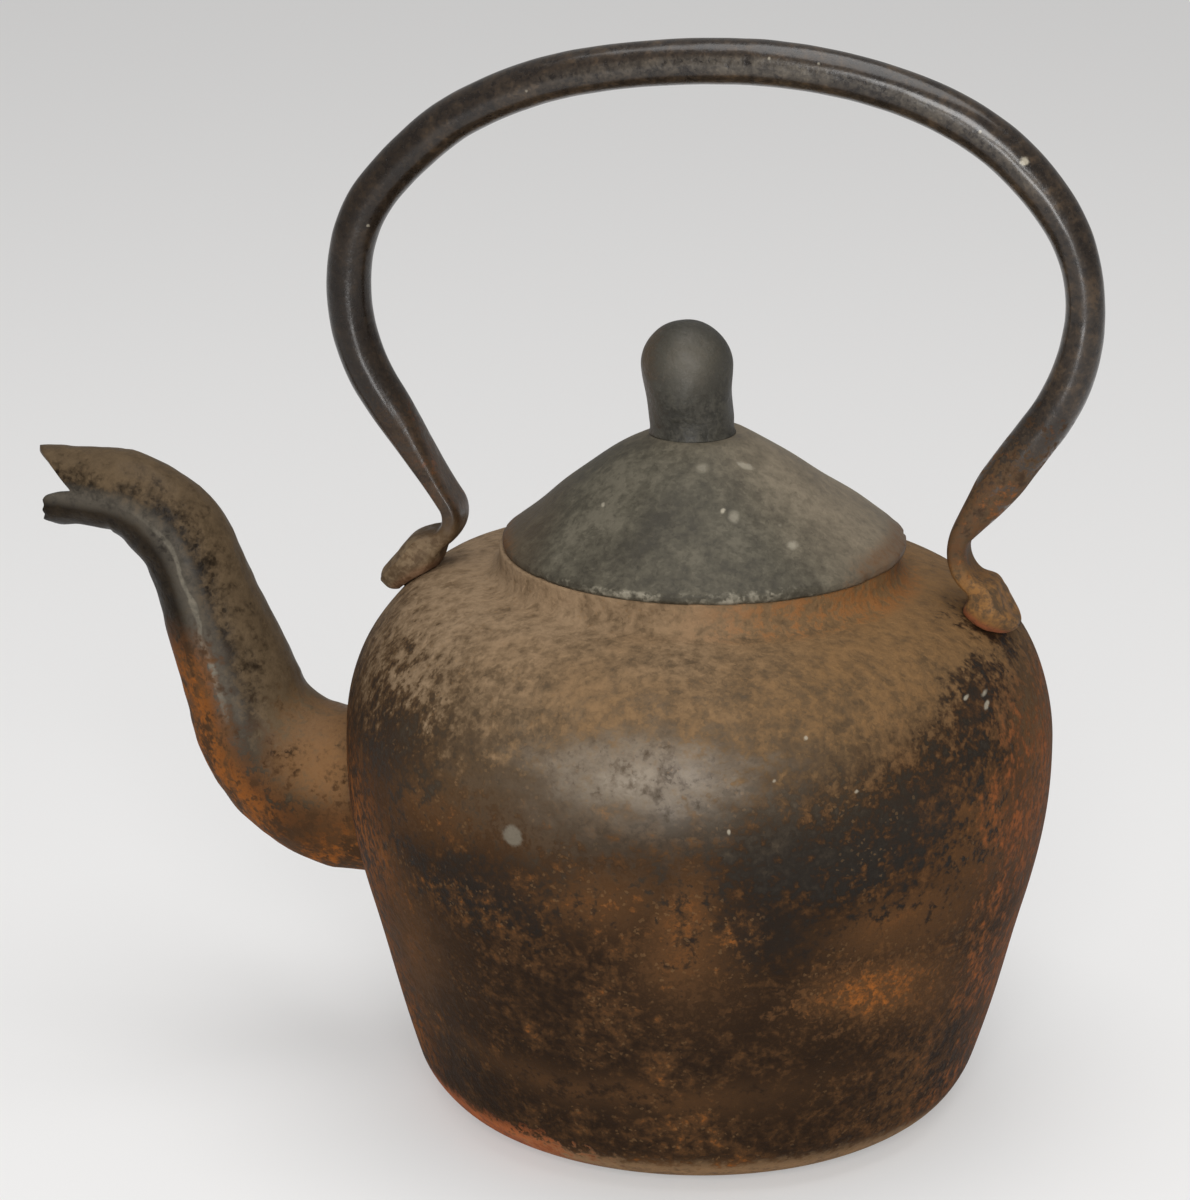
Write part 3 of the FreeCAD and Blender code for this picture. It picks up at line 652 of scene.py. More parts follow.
# Bail
def bail_leg(side):
    """Half of the bail's centreline, from its top to the palm's tip, as points and shares of the palm."""
    centre = (SHOULDER_CENTRE, BELLY_HEIGHT)
    bend = NECK_BEND[side]
    lower = LOWER_RADIUS[side]
    heel_radius = SHOULDER_RADIUS + HEEL_RISE[side]
    heel_angle = math.acos((NECK_REACH[side] + bend - SHOULDER_CENTRE) / (heel_radius + bend))
    neck = polar(centre, heel_radius + bend, heel_angle)
    apex = (side * BAIL_APEX_OFFSET, BAIL_APEX)
    waist = (NECK_REACH[side] + BULGE[side], neck[1] + WAIST_RISE[side])
    span = waist[0] - apex[0]
    drop = apex[1] - waist[1]
    side_radius = drop - TUCK[side]
    top_radius = (span**2 + drop**2 - 2 * span * side_radius) / (2 * TUCK[side])
    top_centre = (apex[0], apex[1] - top_radius)
    side_centre = (waist[0] - side_radius, waist[1])
    joint = math.atan2(side_centre[1] - top_centre[1], side_centre[0] - top_centre[0])
    lower_centre = (waist[0] - lower, waist[1])
    gap = (neck[0] - lower_centre[0], neck[1] - lower_centre[1])
    leave = math.atan2(gap[1], gap[0]) + math.acos((lower + bend) / math.hypot(*gap))
    leg_start = polar(lower_centre, lower, leave)
    leg_end = polar(neck, bend, leave + math.pi)
    share = np.linspace(0, 1, PALM_ROWS)
    rise = HEEL_RISE[side] - PALM_DROP[side] * eased(share, *DROP_EASE)
    angle = heel_angle - share * PALM_LENGTH[side] / (SHOULDER_RADIUS + PALM_PATH)
    palm = np.stack([centre[0] + (SHOULDER_RADIUS + rise) * np.cos(angle),
                     centre[1] + (SHOULDER_RADIUS + rise) * np.sin(angle)], -1)
    upper = np.concatenate([
        arc(top_centre, top_radius, SQUARE, joint, BAIL_STEP),
        arc(side_centre, side_radius, joint, 0, BAIL_STEP),
        arc(lower_centre, lower, 0, leave, BAIL_STEP),
        line(leg_start, leg_end, BAIL_STEP),
        arc(neck, bend, leave + math.pi, heel_angle + math.pi, BAIL_STEP / 2)])
    pull = CORNER_PULL[side] * hump(upper[:, 1:], *CORNER_BAND)
    lift = TOP_LIFT * hump(upper[:, 0] - apex[0], *LIFT_BAND) * eased(upper[:, 1], *LIFT_EASE)
    upper = upper - pull / math.sqrt(2)
    upper[:, 1] += lift
    points = np.concatenate([upper, palm])
    steps = np.linalg.norm(np.diff(points, axis=0), axis=1)
    distance = np.concatenate([[0], np.cumsum(steps)])
    distance -= distance[len(upper)]
    return points, np.where(distance > 0, distance / distance[-1], distance / PALM_LENGTH[side])


def bar_sections(side, points, share):
    """Half width, half depth, squareness, hollow, rim and foot of each section, by its share of the palm.

    A round bar, thinner at its waist, is hammered to a flat strap at the neck and ends in a rounded pad.
    The foot is how much deeper its underside is than its top.
    """
    round_bar = BAR_RADIUS - WAIST_THINNING[side] * hump(points[:, 1], *WAIST_BAND)
    flat = eased(share, *STRAP_EASE)
    width = round_bar + (NECK_HALF_WIDTH - round_bar) * flat
    depth = round_bar + (NECK_HALF_DEPTH - round_bar) * flat
    width = width + (PALM_HALF_WIDTH[side] - NECK_HALF_WIDTH) * hump(share, PALM_MIDDLE[side], PAD_SPREAD)
    width = width * np.sqrt(1 - np.clip((share - TIP_START) / (1 - TIP_START), 0, 1) ** 3)
    depth = depth + (PALM_HALF_DEPTH[side] - depth) * eased(share, *PAD_EASE)
    depth = depth * (1 - TIP_THINNING[side] * eased(share, *THIN_EASE))
    depth = depth * np.sqrt(1 - np.clip((share - NOSING_START) / NOSING_LENGTH, 0, 1) ** 2)
    square = BAR_POWER + (STRAP_POWER - BAR_POWER) * flat
    square = square + (PALM_SQUARENESS[side] - STRAP_POWER) * eased(share, *SQUARE_EASE)
    hollow = PALM_HOLLOW[side] * eased(share, *HOLLOW_EASE) * (1 - eased(share, *HOLLOW_END_EASE))
    rim = eased(share, *HEEL_RIM_EASE)
    foot = 1 + (PALM_FOOT[side] - 1) * eased(share, *FOOT_EASE)
    return np.stack([width, depth, square, hollow, rim, foot])


def oval(around, power):
    """Unit oval: an angle's cosine and sine raised to 2 / power, signs kept; power 2 is a circle."""
    across, beside = np.cos(around), np.sin(around)
    return np.sign(across) * np.abs(across) ** (2 / power), np.sign(beside) * np.abs(beside) ** (2 / power)


def bail_points():
    """Bar carried along the bail: ovals across its way, dished at the palms and pressed onto the shoulder.

    The second grid is 1 on the edges of the palms, where they lie on the shoulder.
    """
    front, front_share = bail_leg(FRONT)
    rear, rear_share = bail_leg(REAR)
    front_sections = bar_sections(FRONT, front, front_share)
    rear_sections = bar_sections(REAR, rear, rear_share)
    way = np.concatenate([front[::-1] * (FRONT, 1), rear[1:]])
    sections = np.concatenate([front_sections[:, ::-1], rear_sections[:, 1:]], axis=1)
    width, depth, square, hollow, rim, foot = sections[..., None]
    heading = np.gradient(way, axis=0)
    heading /= np.linalg.norm(heading, axis=1, keepdims=True)
    around = np.arange(BAIL_COLUMNS) * TURN / BAIL_COLUMNS
    up, beside = oval(-around, square)
    ridge = rim * hump(np.abs(beside), *RIDGE_BAND) * np.clip(up, 0, 1) ** 0.2
    up = np.where(up < 0, up * foot, up)
    lift = PALM_RIDGE * ridge - hollow * hump(beside, *HOLLOW_BAND) * np.clip(up, 0, 1)
    across = np.stack([-heading[:, 1], 0 * heading[:, 0], heading[:, 0]], -1)
    centre = np.stack([way[:, 0], 0 * way[:, 0], way[:, 1]], -1)
    points = centre[:, None] + (depth * up + lift)[..., None] * across[:, None]
    points = points + (width * beside)[..., None] * np.array((0, 1, 0))
    swell = BAIL_WAVE * (waviness(points, *BAIL_GRAIN) + 0.5 * waviness(points, *BAIL_FINE_GRAIN))
    points = points + swell[..., None] * facing(points)
    out = np.hypot(points[..., 0], points[..., 1])
    angle = np.arctan2(points[..., 2] - BELLY_HEIGHT, out - SHOULDER_CENTRE)
    least = shoulder_radius(angle) + shoulder_lean(points) + PALM_GAP
    level = np.hypot(points[..., 2] - BELLY_HEIGHT, out - SHOULDER_CENTRE)
    pressed = np.where((level < least) & (angle > 0) & (angle < SQUARE), least, level)
    edge = rim * (1 - eased(level - least, *EDGE_EASE))
    scale = (SHOULDER_CENTRE + pressed * np.cos(angle)) / out
    lifted = BELLY_HEIGHT + pressed * np.sin(angle)
    return np.stack([points[..., 0] * scale, points[..., 1] * scale, lifted], -1), edge


# Rivets
def rivet_points(side, angle, end):
    """Rivet turned about a line square to the shoulder: domed tail in the pot, shank, end in the palm."""
    share = np.linspace(0, 1, TAIL_ROWS)
    dome = np.stack([RIVET_TAIL * np.sin(SQUARE * share),
                     RIVET_TAIL_TOP - RIVET_TAIL_HEIGHT * np.cos(SQUARE * share)], -1)
    outline = np.concatenate([dome, [(RIVET_RADIUS, RIVET_TAIL_TOP), (RIVET_RADIUS, end), (0, end)]])
    local = turned(outline, RIVET_COLUMNS)
    outward = np.array((side * math.cos(angle), 0, math.sin(angle)))
    upslope = np.array((-side * math.sin(angle), 0, math.cos(angle)))
    aside = np.cross(outward, upslope)
    foot = polar((SHOULDER_CENTRE, BELLY_HEIGHT), SHOULDER_RADIUS, angle)
    foot = np.array((side * foot[0], 0, foot[1]))
    return foot + local[..., :1] * upslope + local[..., 1:2] * aside + local[..., 2:] * outward


# Finishes
class Wire:
    """An output socket of a material's nodes; arithmetic with other wires or numbers adds Math nodes."""

    def __init__(self, tree, socket=None):
        self.tree = tree
        self.socket = socket

    def make(self, kind, settings=None, sockets=None, output=0):
        """A new node: its settings first, then each socket's value or link. Gives one of its outputs."""
        node = self.tree.nodes.new(kind)
        for name, value in (settings or {}).items():
            setattr(node, name, value)
        for key, value in (sockets or {}).items():
            if isinstance(value, Wire):
                self.tree.links.new(value.socket, node.inputs[key])
            else:
                node.inputs[key].default_value = value
        return Wire(self.tree, node.outputs[output]) if node.outputs else None

    def math(self, operation, first, second):
        return self.make("ShaderNodeMath", {"operation": operation}, {0: first, 1: second})

    def __add__(self, other):
        return self.math("ADD", self, other)

    def __radd__(self, other):
        return self.math("ADD", other, self)

    def __sub__(self, other):
        return self.math("SUBTRACT", self, other)

    def __rsub__(self, other):
        return self.math("SUBTRACT", other, self)

    def __mul__(self, other):
        return self.math("MULTIPLY", self, other)

    def __rmul__(self, other):
        return self.math("MULTIPLY", other, self)

    def __truediv__(self, other):
        return self.math("DIVIDE", self, other)

    def __rtruediv__(self, other):
        return self.math("DIVIDE", other, self)

    def larger(self, other):
        return self.math("MAXIMUM", self, other)

    def vector(self, operation, other, output=0):
        return self.make("ShaderNodeVectorMath", {"operation": operation}, {0: self, 1: other}, output)

    def part(self, axis):
        return self.make("ShaderNodeSeparateXYZ", {}, {0: self}, axis)

    def step(self, low, high):
        """Smooth step from 0 at low to 1 at high, or the other way round where low is the higher."""
        sockets = {"Value": self, "From Min": low, "From Max": high}
        return self.make("ShaderNodeMapRange", {"interpolation_type": "SMOOTHSTEP"}, sockets)

    def noise(self, scale, detail=4.0, roughness=0.6, distortion=0.0):
        sockets = {"Vector": self, "Scale": scale, "Detail": detail, "Roughness": roughness,
                   "Distortion": distortion}
        return self.make("ShaderNodeTexNoise", {}, sockets)

    def grit(self, scale):
        """A random value from 0 to 1 for each grain of a cell pattern."""
        sockets = {"Vector": self, "Scale": scale}
        return self.make("ShaderNodeTexVoronoi", {"feature": "F1"}, sockets, "Color").part(0)

    def grain(self, scale, coarse=1.3, fine=1.0, grit=0.26):
        """Rusty grain of three sizes, centred on 0: blotches, a mottle 4 times as fine, and grit."""
        blotches = (self.noise(scale, 5, 0.62) - 0.5) * coarse
        mottle = (self.noise(scale * 4, 3, 0.6) - 0.5) * fine
        return blotches + mottle + (self.grit(scale * 14) - 0.5) * grit

    def warp(self, scale, reach):
        """The place moved about by a noise, so that shapes measured from it lose their even outlines."""
        sockets = {"Vector": self, "Scale": scale, "Detail": 3.0}
        away = self.make("ShaderNodeTexNoise", {}, sockets, "Color").vector("SUBTRACT", (0.5, 0.5, 0.5))
        return self.vector("ADD", away.vector("MULTIPLY", (reach, reach, reach)))

    def mark(self):
        """The value that a piece carries at its points."""
        return self.make("ShaderNodeAttribute", {"attribute_name": "mark"}, {}, "Fac")

    def length(self):
        return self.vector("LENGTH", (0, 0, 0), "Value")

    def radius(self):
        """Distance from the upright axis."""
        return self.vector("MULTIPLY", (1, 1, 0)).length()

    def blend(self, first, second):
        """Mixes two colours by this wire as the share of the second."""
        sockets = {0: self, 6: first, 7: second}
        return self.make("ShaderNodeMix", {"data_type": "RGBA"}, sockets, 2)

    def patch(self, centre, size, ragged, softness=0.5):
        """Soft-edged blot: 1 near a centre, 0 past an ellipsoid of half sizes; a wire breaks its edge."""
        away = self.vector("SUBTRACT", centre).vector("DIVIDE", size).length()
        return (away + ragged).step(1 + softness, 1 - softness)

    def patches(self, table, ragged, softness):
        """The thickest of several blots, each with a centre, half sizes and a thickness."""
        blots = [self.patch(centre, size, ragged, softness) * thickness
                 for centre, size, thickness in table]
        return functools.reduce(Wire.larger, blots)


def paint(red, green, blue):
    """Linear colour of a screen colour written from 0 to 255."""
    screen = np.array((red, green, blue)) / 255
    linear = np.where(screen < 0.04045, screen / 12.92, ((screen + 0.055) / 1.055) ** 2.4)
    return (*linear.tolist(), 1.0)


def new_finish(name):
    """An empty material and the wire of its Object coordinates."""
    material = bpy.data.materials.new(name)
    material.use_nodes = True
    material.node_tree.nodes.clear()
    return material, Wire(material.node_tree).make("ShaderNodeTexCoord", {}, {}, "Object")


def close_finish(colour, roughness, height, depth, gloss, coat=0.0, coat_roughness=0.3):
    """Shader of a finish: varying colour, roughness and coat, and a bump with its depth in metres."""
    relief = {"Strength": 1.0, "Distance": depth, "Height": height}
    bump = colour.make("ShaderNodeBump", {}, relief, "Normal")
    sockets = {"Base Color": colour, "Roughness": roughness, "Normal": bump, "Specular IOR Level": gloss,
               "Coat Weight": coat, "Coat Roughness": coat_roughness}
    shader = colour.make("ShaderNodeBsdfPrincipled", {}, sockets, "BSDF")
    colour.make("ShaderNodeOutputMaterial", {}, {"Surface": shader})


DUSTY_TAN = paint(141, 119, 94)
BROWN_TAN = paint(122, 93, 61)
DARK_TAN = paint(86, 67, 46)
BROWN_RUST = paint(94, 64, 38)
ORANGE_RUST = paint(146, 86, 36)
RED_RUST = paint(134, 78, 42)
DARK_RED_RUST = paint(88, 54, 33)
FOOT_RUST = paint(172, 98, 56)
FOOT_TAN = paint(146, 116, 84)
BURNT_BLACK = paint(36, 24, 14)
BURNT_BROWN = paint(62, 43, 26)
BURNT_RUST = paint(84, 57, 33)
SOOT = paint(32, 28, 24)
# Colours of the painted sheen and glint on the belly's front
SHEEN_GREY_BROWN = paint(80, 68, 53)
GREY_SHEEN = paint(116, 108, 95)
PALE_SHEEN = paint(166, 155, 140)
DARK_CHARCOAL = paint(56, 52, 43)
CHARCOAL = paint(88, 83, 70)
KNOB_DARK = paint(42, 40, 34)
KNOB_LIGHT = paint(68, 65, 57)
DUST = paint(114, 107, 94)
BROWN_DUST = paint(138, 125, 106)
CHALK = paint(172, 164, 146)
BAR_DARK = paint(25, 18, 12)
BAR_LIGHT = paint(52, 41, 30)
PALM_TAN = paint(120, 101, 77)
PALM_BROWN = paint(140, 100, 56)
PALM_EDGE = paint(160, 92, 62)
HORN_DARK = paint(22, 16, 10)
HORN_LIGHT = paint(46, 38, 28)
# Grey of the painted highlights on the bail and the horn
HORN_TAN = paint(106, 88, 66)
HIGHLIGHT_GREY = paint(104, 98, 88)
ROOT_TAN = paint(130, 94, 60)

# Patches as centre, half sizes and, in tables, thickness
POT_RUST = (
    ((-0.060, -0.084, 0.120), (0.034, 0.030, 0.020), 0.56),
    ((-0.016, -0.100, 0.100), (0.030, 0.030, 0.009), 0.50),
    ((0.021, -0.101, 0.092), (0.011, 0.030, 0.017), 0.66),
    ((0.068, -0.070, 0.065), (0.017, 0.030, 0.009), 1.15),
    ((0.074, -0.070, 0.088), (0.020, 0.030, 0.009), 0.55),
    ((0.090, -0.050, 0.108), (0.010, 0.030, 0.016), 0.60),
    ((-0.066, -0.066, 0.064), (0.014, 0.030, 0.024), 0.55),
    ((-0.004, -0.088, 0.034), (0.050, 0.030, 0.006), 0.38),
    ((0.102, -0.004, 0.112), (0.030, 0.022, 0.022), 0.75),
    ((0.088, 0.006, 0.060), (0.030, 0.018, 0.026), 0.75),
    ((0.060, 0.080, 0.080), (0.040, 0.030, 0.024), 0.60),
    ((-0.050, 0.088, 0.070), (0.030, 0.030, 0.030), 0.60),
)
# Sooty blots, and one painted shadow
POT_SOOT_AND_SHADOW = (
    ((0.053, -0.088, 0.112), (0.036, 0.030, 0.014), 1.0),
    ((0.078, -0.068, 0.121), (0.015, 0.030, 0.011), 1.0),
    ((0.038, -0.094, 0.094), (0.016, 0.030, 0.014), 0.5),
    ((-0.071, -0.072, 0.129), (0.016, 0.030, 0.013), 0.6),
    ((-0.038, -0.094, 0.096), (0.022, 0.030, 0.010), 0.6),
    ((0.088, -0.040, 0.142), (0.005, 0.020, 0.008), 0.9),
    # Painted shadow on the shoulder below the rear palm's near edge
    ((0.087, -0.006, 0.1540), (0.009, 0.007, 0.005), 0.8),
    ((0.020, 0.104, 0.112), (0.050, 0.030, 0.018), 1.0),
)
# Painted light on the belly's front: a broad sheen, a grey sheen and a pale glint
POT_BROAD_SHEEN = ((0.004, -0.094, 0.138), (0.062, 0.050, 0.024))
POT_SHEEN = ((0.001, -0.100, 0.131), (0.032, 0.030, 0.013))
POT_GLINT = ((0.006, -0.099, 0.1345), (0.022, 0.020, 0.007))
POT_SPOT = ((-0.0311, -0.0999, 0.1142), (0.0029, 0.008, 0.0029))
# Painted highlight on the front of the knob's top
KNOB_HIGHLIGHT = ((-0.001, -0.012, 0.229), (0.007, 0.008, 0.007))
SPOUT_ROOT = ((-0.108, -0.012, 0.099), (0.020, 0.030, 0.015))
SPOUT_BURN = ((-0.118, -0.018, 0.078), (0.014, 0.030, 0.010))
POT_SPECKS = (
    ((0.041, -0.088, 0.134), (0.0005, 0.006, 0.0005), 0.6),
    ((0.030, -0.099, 0.121), (0.0004, 0.006, 0.0007), 0.6),
    ((0.048, -0.080, 0.144), (0.0005, 0.006, 0.0005), 0.6),
    ((0.062, -0.080, 0.129), (0.0005, 0.006, 0.0005), 0.6),
    ((0.090, -0.038, 0.144), (0.0006, 0.006, 0.0006), 0.6),
    ((0.091, -0.036, 0.141), (0.0005, 0.006, 0.0009), 0.6),
    ((0.086, -0.044, 0.145), (0.0005, 0.006, 0.0005), 0.6),
)
LID_BLOTS = (
    ((0.017, -0.033, 0.190), (0.0014, 0.002, 0.002), 0.35),
    ((0.0135, -0.033, 0.1915), (0.0006, 0.002, 0.0006), 0.75),
    ((0.016, -0.015, 0.200), (0.0026, 0.0012, 0.0012), 0.45),
    ((0.034, -0.033, 0.183), (0.0015, 0.002, 0.0012), 0.45),
    ((0.029, -0.028, 0.1865), (0.0007, 0.001, 0.0007), 0.5),
    ((0.005, -0.021, 0.200), (0.0018, 0.002, 0.002), 0.30),
    ((-0.022, -0.030, 0.190), (0.0006, 0.001, 0.0006), 0.5),
    ((-0.008, -0.042, 0.184), (0.0005, 0.001, 0.0005), 0.5),
)
BAR_SPECKS = (
    ((0.0925, -0.0055, 0.2905), (0.0013, 0.003, 0.0010), 0.8),
    ((0.080, -0.0055, 0.2985), (0.0004, 0.003, 0.0004), 0.5),
    ((-0.050, -0.0045, 0.304), (0.0004, 0.003, 0.0004), 0.5),
    ((-0.098, -0.005, 0.262), (0.0004, 0.003, 0.0004), 0.5),
    ((0.020, -0.0045, 0.3165), (0.0004, 0.003, 0.0004), 0.5),
    ((0.034, -0.0045, 0.3155), (0.0004, 0.003, 0.0004), 0.5),
)


def pot_finish():
    """Tan rust fading down the shoulder through brown grains to burnt iron, sooty blots, specks, and
    painted sheen and shadow.
    """
    material, place = new_finish("pot_rust")
    side, height = place.part(0), place.part(2)
    broad = place.noise(14, 3, 0.5)
    cloud = place.noise(36, 4, 0.6)
    fine = place.noise(420, 3, 0.6)
    streak = place.vector("MULTIPLY", (1, 1, 0.1)).noise(160, 4, 0.6)
    smear = place.vector("MULTIPLY", (0.8, 0.8, 1.4)).noise(110, 5, 0.65)
    grain = place.grain(64, 0.9, 1.25, 0.25) + (fine - 0.5) * 0.5
    warped = place.warp(22, 0.034)
    ragged = grain * 2.2
    # Sooty blots, with the painted shadow beside the rear palm
    soot_and_shadow = place.patches(POT_SOOT_AND_SHADOW, ragged + (broad - 0.5) * 1.4, 0.7)
    fade = (height + (broad - 0.5) * 0.03 + (streak - 0.5) * 0.02).step(0.100, 0.174) * 0.96
    share = fade.larger(warped.patches(POT_RUST, ragged * 1.5, 0.95)).larger(0.28 * cloud.step(0.42, 0.66))
    level = share * (1 - 0.8 * soot_and_shadow) + grain * (1 - 0.5 * fade) - 0.25 * soot_and_shadow
    ratio = side / place.radius()
    tan = (side * 7 + (broad - 0.5) * 1.6).step(-0.5, 0.6).blend(DUSTY_TAN, BROWN_TAN)
    orange = (fine + grain * 0.3).step(0.36, 0.64).blend(BURNT_RUST, ORANGE_RUST)
    raised = (height + (broad - 0.5) * 0.03).step(0.108, 0.138)
    tone = raised.blend(orange, tan)
    middle = raised.blend(BURNT_RUST, DARK_TAN)
    colour = level.step(-0.25, 0.50).blend(soot_and_shadow.blend(BURNT_BLACK, SOOT), BURNT_BROWN)
    colour = level.step(0.10, 0.75).blend(colour, middle)
    colour = level.step(0.42, 1.10).blend(colour, tone)
    # Painted broad sheen that greys the front of the belly
    broad_sheen = warped.patch(*POT_BROAD_SHEEN, grain, 0.9)
    colour = (broad_sheen * (0.45 - 0.5 * grain)).blend(colour, SHEEN_GREY_BROWN)
    specks = place.grit(1300).step(0.95, 0.97) * cloud.step(0.4, 0.6)
    colour = (specks * 0.3).blend(colour, BROWN_TAN)
    # Grey zone with a painted sheen on it, weaker on the sooty blots
    sheen = place.patch(*POT_SHEEN, (smear - 0.5) * 2 + grain * 1.6, 0.9)
    sheen = sheen * (1 - 0.7 * soot_and_shadow)
    colour = (sheen * (0.28 + 1.2 * grain)).blend(colour, GREY_SHEEN)
    # Painted highlight: a pale glint at the top of the sheen
    glint = place.patch(*POT_GLINT, (smear - 0.5) * 2 + grain * 2, 0.9)
    colour = (glint * (0.34 + 0.7 * grain)).blend(colour, PALE_SHEEN)
    tinted = (ratio + grain * 0.2).step(0.55, 0.95) * height.step(0.160, 0.130)
    colour = (tinted * (0.25 + grain)).blend(colour, BROWN_RUST)
    belly = height.step(0.004, 0.02) * height.step(0.150, 0.126)
    right = (ratio + grain * 0.16 + (cloud - 0.5) * 0.5).step(0.90, 1.06) * belly
    red = (fine + grain * 0.3).step(0.36, 0.64).blend(DARK_RED_RUST, RED_RUST)
    colour = (right * (0.6 + 1.2 * grain)).blend(colour, red)
    left = (ratio + grain * 0.3 + (broad - 0.5) * 0.6).step(-0.66, -0.95) * height.step(0.004, 0.03)
    colour = (left * height.step(0.130, 0.100) * (0.45 + 1.8 * grain)).blend(colour, orange)
    low_side = (ratio + grain * 0.5).step(-0.1, -0.5)
    foot = (height + grain * 0.006 - 0.004 * low_side).step(0.0120, 0.0065)
    colour = (foot * (0.85 + grain)).blend(colour, low_side.blend(FOOT_TAN, FOOT_RUST))
    collar = place.radius().step(0.068, 0.061) * height.step(0.150, 0.158) * side.step(0, 0.04)
    colour = (collar * grain.step(-0.1, 0.2) * 0.4).blend(colour, ORANGE_RUST)
    spot = place.patch(*POT_SPOT, grain * 0.4, 0.25)
    colour = (spot * 0.75).blend(colour, DUST)
    colour = place.patches(POT_SPECKS, (fine - 0.5) * 2, 0.5).blend(colour, CHALK)
    roughness = 0.7 + 0.2 * grain - 0.14 * soot_and_shadow
    close_finish(colour, roughness, grain, 0.0005, 0.07, 0.18 * sheen + 0.05 * soot_and_shadow)
    return material


def lid_finish():
    """Dusty charcoal with soft dark smears, browner at the back, a few pale blots, a pale front rim of
    chips and painted highlight, and painted shade under the rim.
    """
    material, place = new_finish("lid_charcoal")
    beside, depth, height = place.part(0), place.part(1), place.part(2)
    broad = place.noise(28, 3, 0.5)
    grain = place.grain(70, 0.9, 0.7, 0.2)
    tone = (grain + (broad - 0.5)).step(-0.4, 0.4)
    colour = tone.blend(DARK_CHARCOAL, CHARCOAL)
    dusty = (grain + (broad - 0.5) * 2).step(0.05, 0.5)
    colour = (dusty * 0.25).blend(colour, DUST)
    back = (depth + beside * 0.6 + (broad - 0.5) * 0.03).step(-0.026, 0.020)
    colour = (back * (0.62 + 0.7 * grain)).blend(colour, BROWN_DUST)
    left = (beside + (broad - 0.5) * 0.02).step(-0.030, -0.054)
    colour = (left * 0.35).blend(colour, DARK_TAN)
    ends = place.radius().step(0.0530, 0.0580) * (beside * beside + grain * 0.001).step(0.0022, 0.0031)
    colour = (ends * (0.6 + grain)).blend(colour, BROWN_RUST)
    colour = place.patches(LID_BLOTS, grain * 1.6, 0.5).blend(colour, CHALK)
    # Pale line on the front rim: chips, and a painted highlight on the lit edge
    rim = place.radius().step(0.0578, 0.0588) * height.step(0.1690, 0.1702) * depth.step(-0.036, -0.052)
    colour = (rim * grain.step(-0.1, 0.3) * 0.45).blend(colour, CHALK)
    # Painted shade: the rim's face and all below it darkened
    edge = height.step(0.1722, 0.1702)
    colour = (edge * 0.7).blend(colour, BURNT_BROWN)
    close_finish(colour, 0.5 + 0.2 * tone, grain, 0.0004, 0.16, 0.04)
    return material


def knob_finish():
    """Darker charcoal, brown on the spout side, with a painted pale highlight on the front of its top."""
    material, place = new_finish("knob_charcoal")
    grain = place.grain(100)
    tone = grain.step(-0.35, 0.35)
    colour = tone.blend(KNOB_DARK, KNOB_LIGHT)
    brown = (place.part(0) + grain * 0.008).step(-0.008, -0.017)
    colour = (brown * 0.5).blend(colour, DARK_TAN)
    # Painted highlight on the front of the knob's top
    painted_highlight = place.patch(*KNOB_HIGHLIGHT, grain * 2, 0.8)
    colour = (painted_highlight * 0.35).blend(colour, DUST)
    close_finish(colour, 0.42 + 0.2 * tone, grain, 0.0004, 0.25, 0.08)
    return material


def bail_finish():
    """Bar rubbed smooth by hands: satin brown-black, pale specks, rusty feet, tan palms with orange edges;
    a painted highlight along the top and painted shade on the spout side.
    """
    material, place = new_finish("bail_satin_black")
    height = place.part(2)
    grain = place.grain(80)
    fine = place.noise(460, 3, 0.6)
    colour = grain.step(-0.35, 0.35).blend(BAR_DARK, BAR_LIGHT)
    colour = (grain.step(0.1, 0.5) * 0.4).blend(colour, DARK_TAN)
    # Painted shade: the bar painted darker on its spout side
    spout_side = place.part(0).step(-0.060, -0.105)
    colour = (spout_side * 0.6).blend(colour, BAR_DARK)
    # Painted highlight: a pale band along the front of the bail's top
    top = height.step(0.262, 0.296) * place.part(0).step(-0.07, 0.01)
    highlight_band = place.part(1).step(-0.0057, -0.0066) * top
    colour = (highlight_band * (0.25 + 0.9 * grain)).blend(colour, HIGHLIGHT_GREY)
    rear = place.part(0).step(-0.02, 0.02)
    low = (height + grain * 0.05).step(0.210, 0.196)
    rusty = low * (0.4 + 0.6 * rear)
    rust = (fine - 0.5 + grain).step(-0.3, 0.3).blend(DARK_TAN, BROWN_RUST)
    rust = ((fine - 0.5 + place.noise(130, 3, 0.6) - 0.5).step(0.08, 0.3) * 0.7).blend(rust, ORANGE_RUST)
    rust = grain.step(0.0, -0.4).blend(rust, BURNT_BROWN)
    colour = (rusty * 0.85).blend(colour, rust)
    palm = (height + grain * 0.01).step(0.176, 0.168)
    palm_tone = grain.step(0.3, -0.3).blend(rear.blend(PALM_TAN, PALM_BROWN), DARK_TAN)
    colour = (palm * 0.9).blend(colour, palm_tone)
    colour = (place.mark() * (0.15 + 0.65 * rear) * (0.9 + grain)).blend(colour, PALM_EDGE)
    colour = place.patches(BAR_SPECKS, (fine - 0.5) * 3, 0.5).blend(colour, CHALK)
    dull = rusty.larger(palm)
    roughness = 0.3 + 0.12 * grain + 0.4 * dull
    close_finish(colour, roughness, grain, 0.0002, 0.2, (0.6 - 0.3 * spout_side) * (1 - 0.98 * dull), 0.2)
    return material


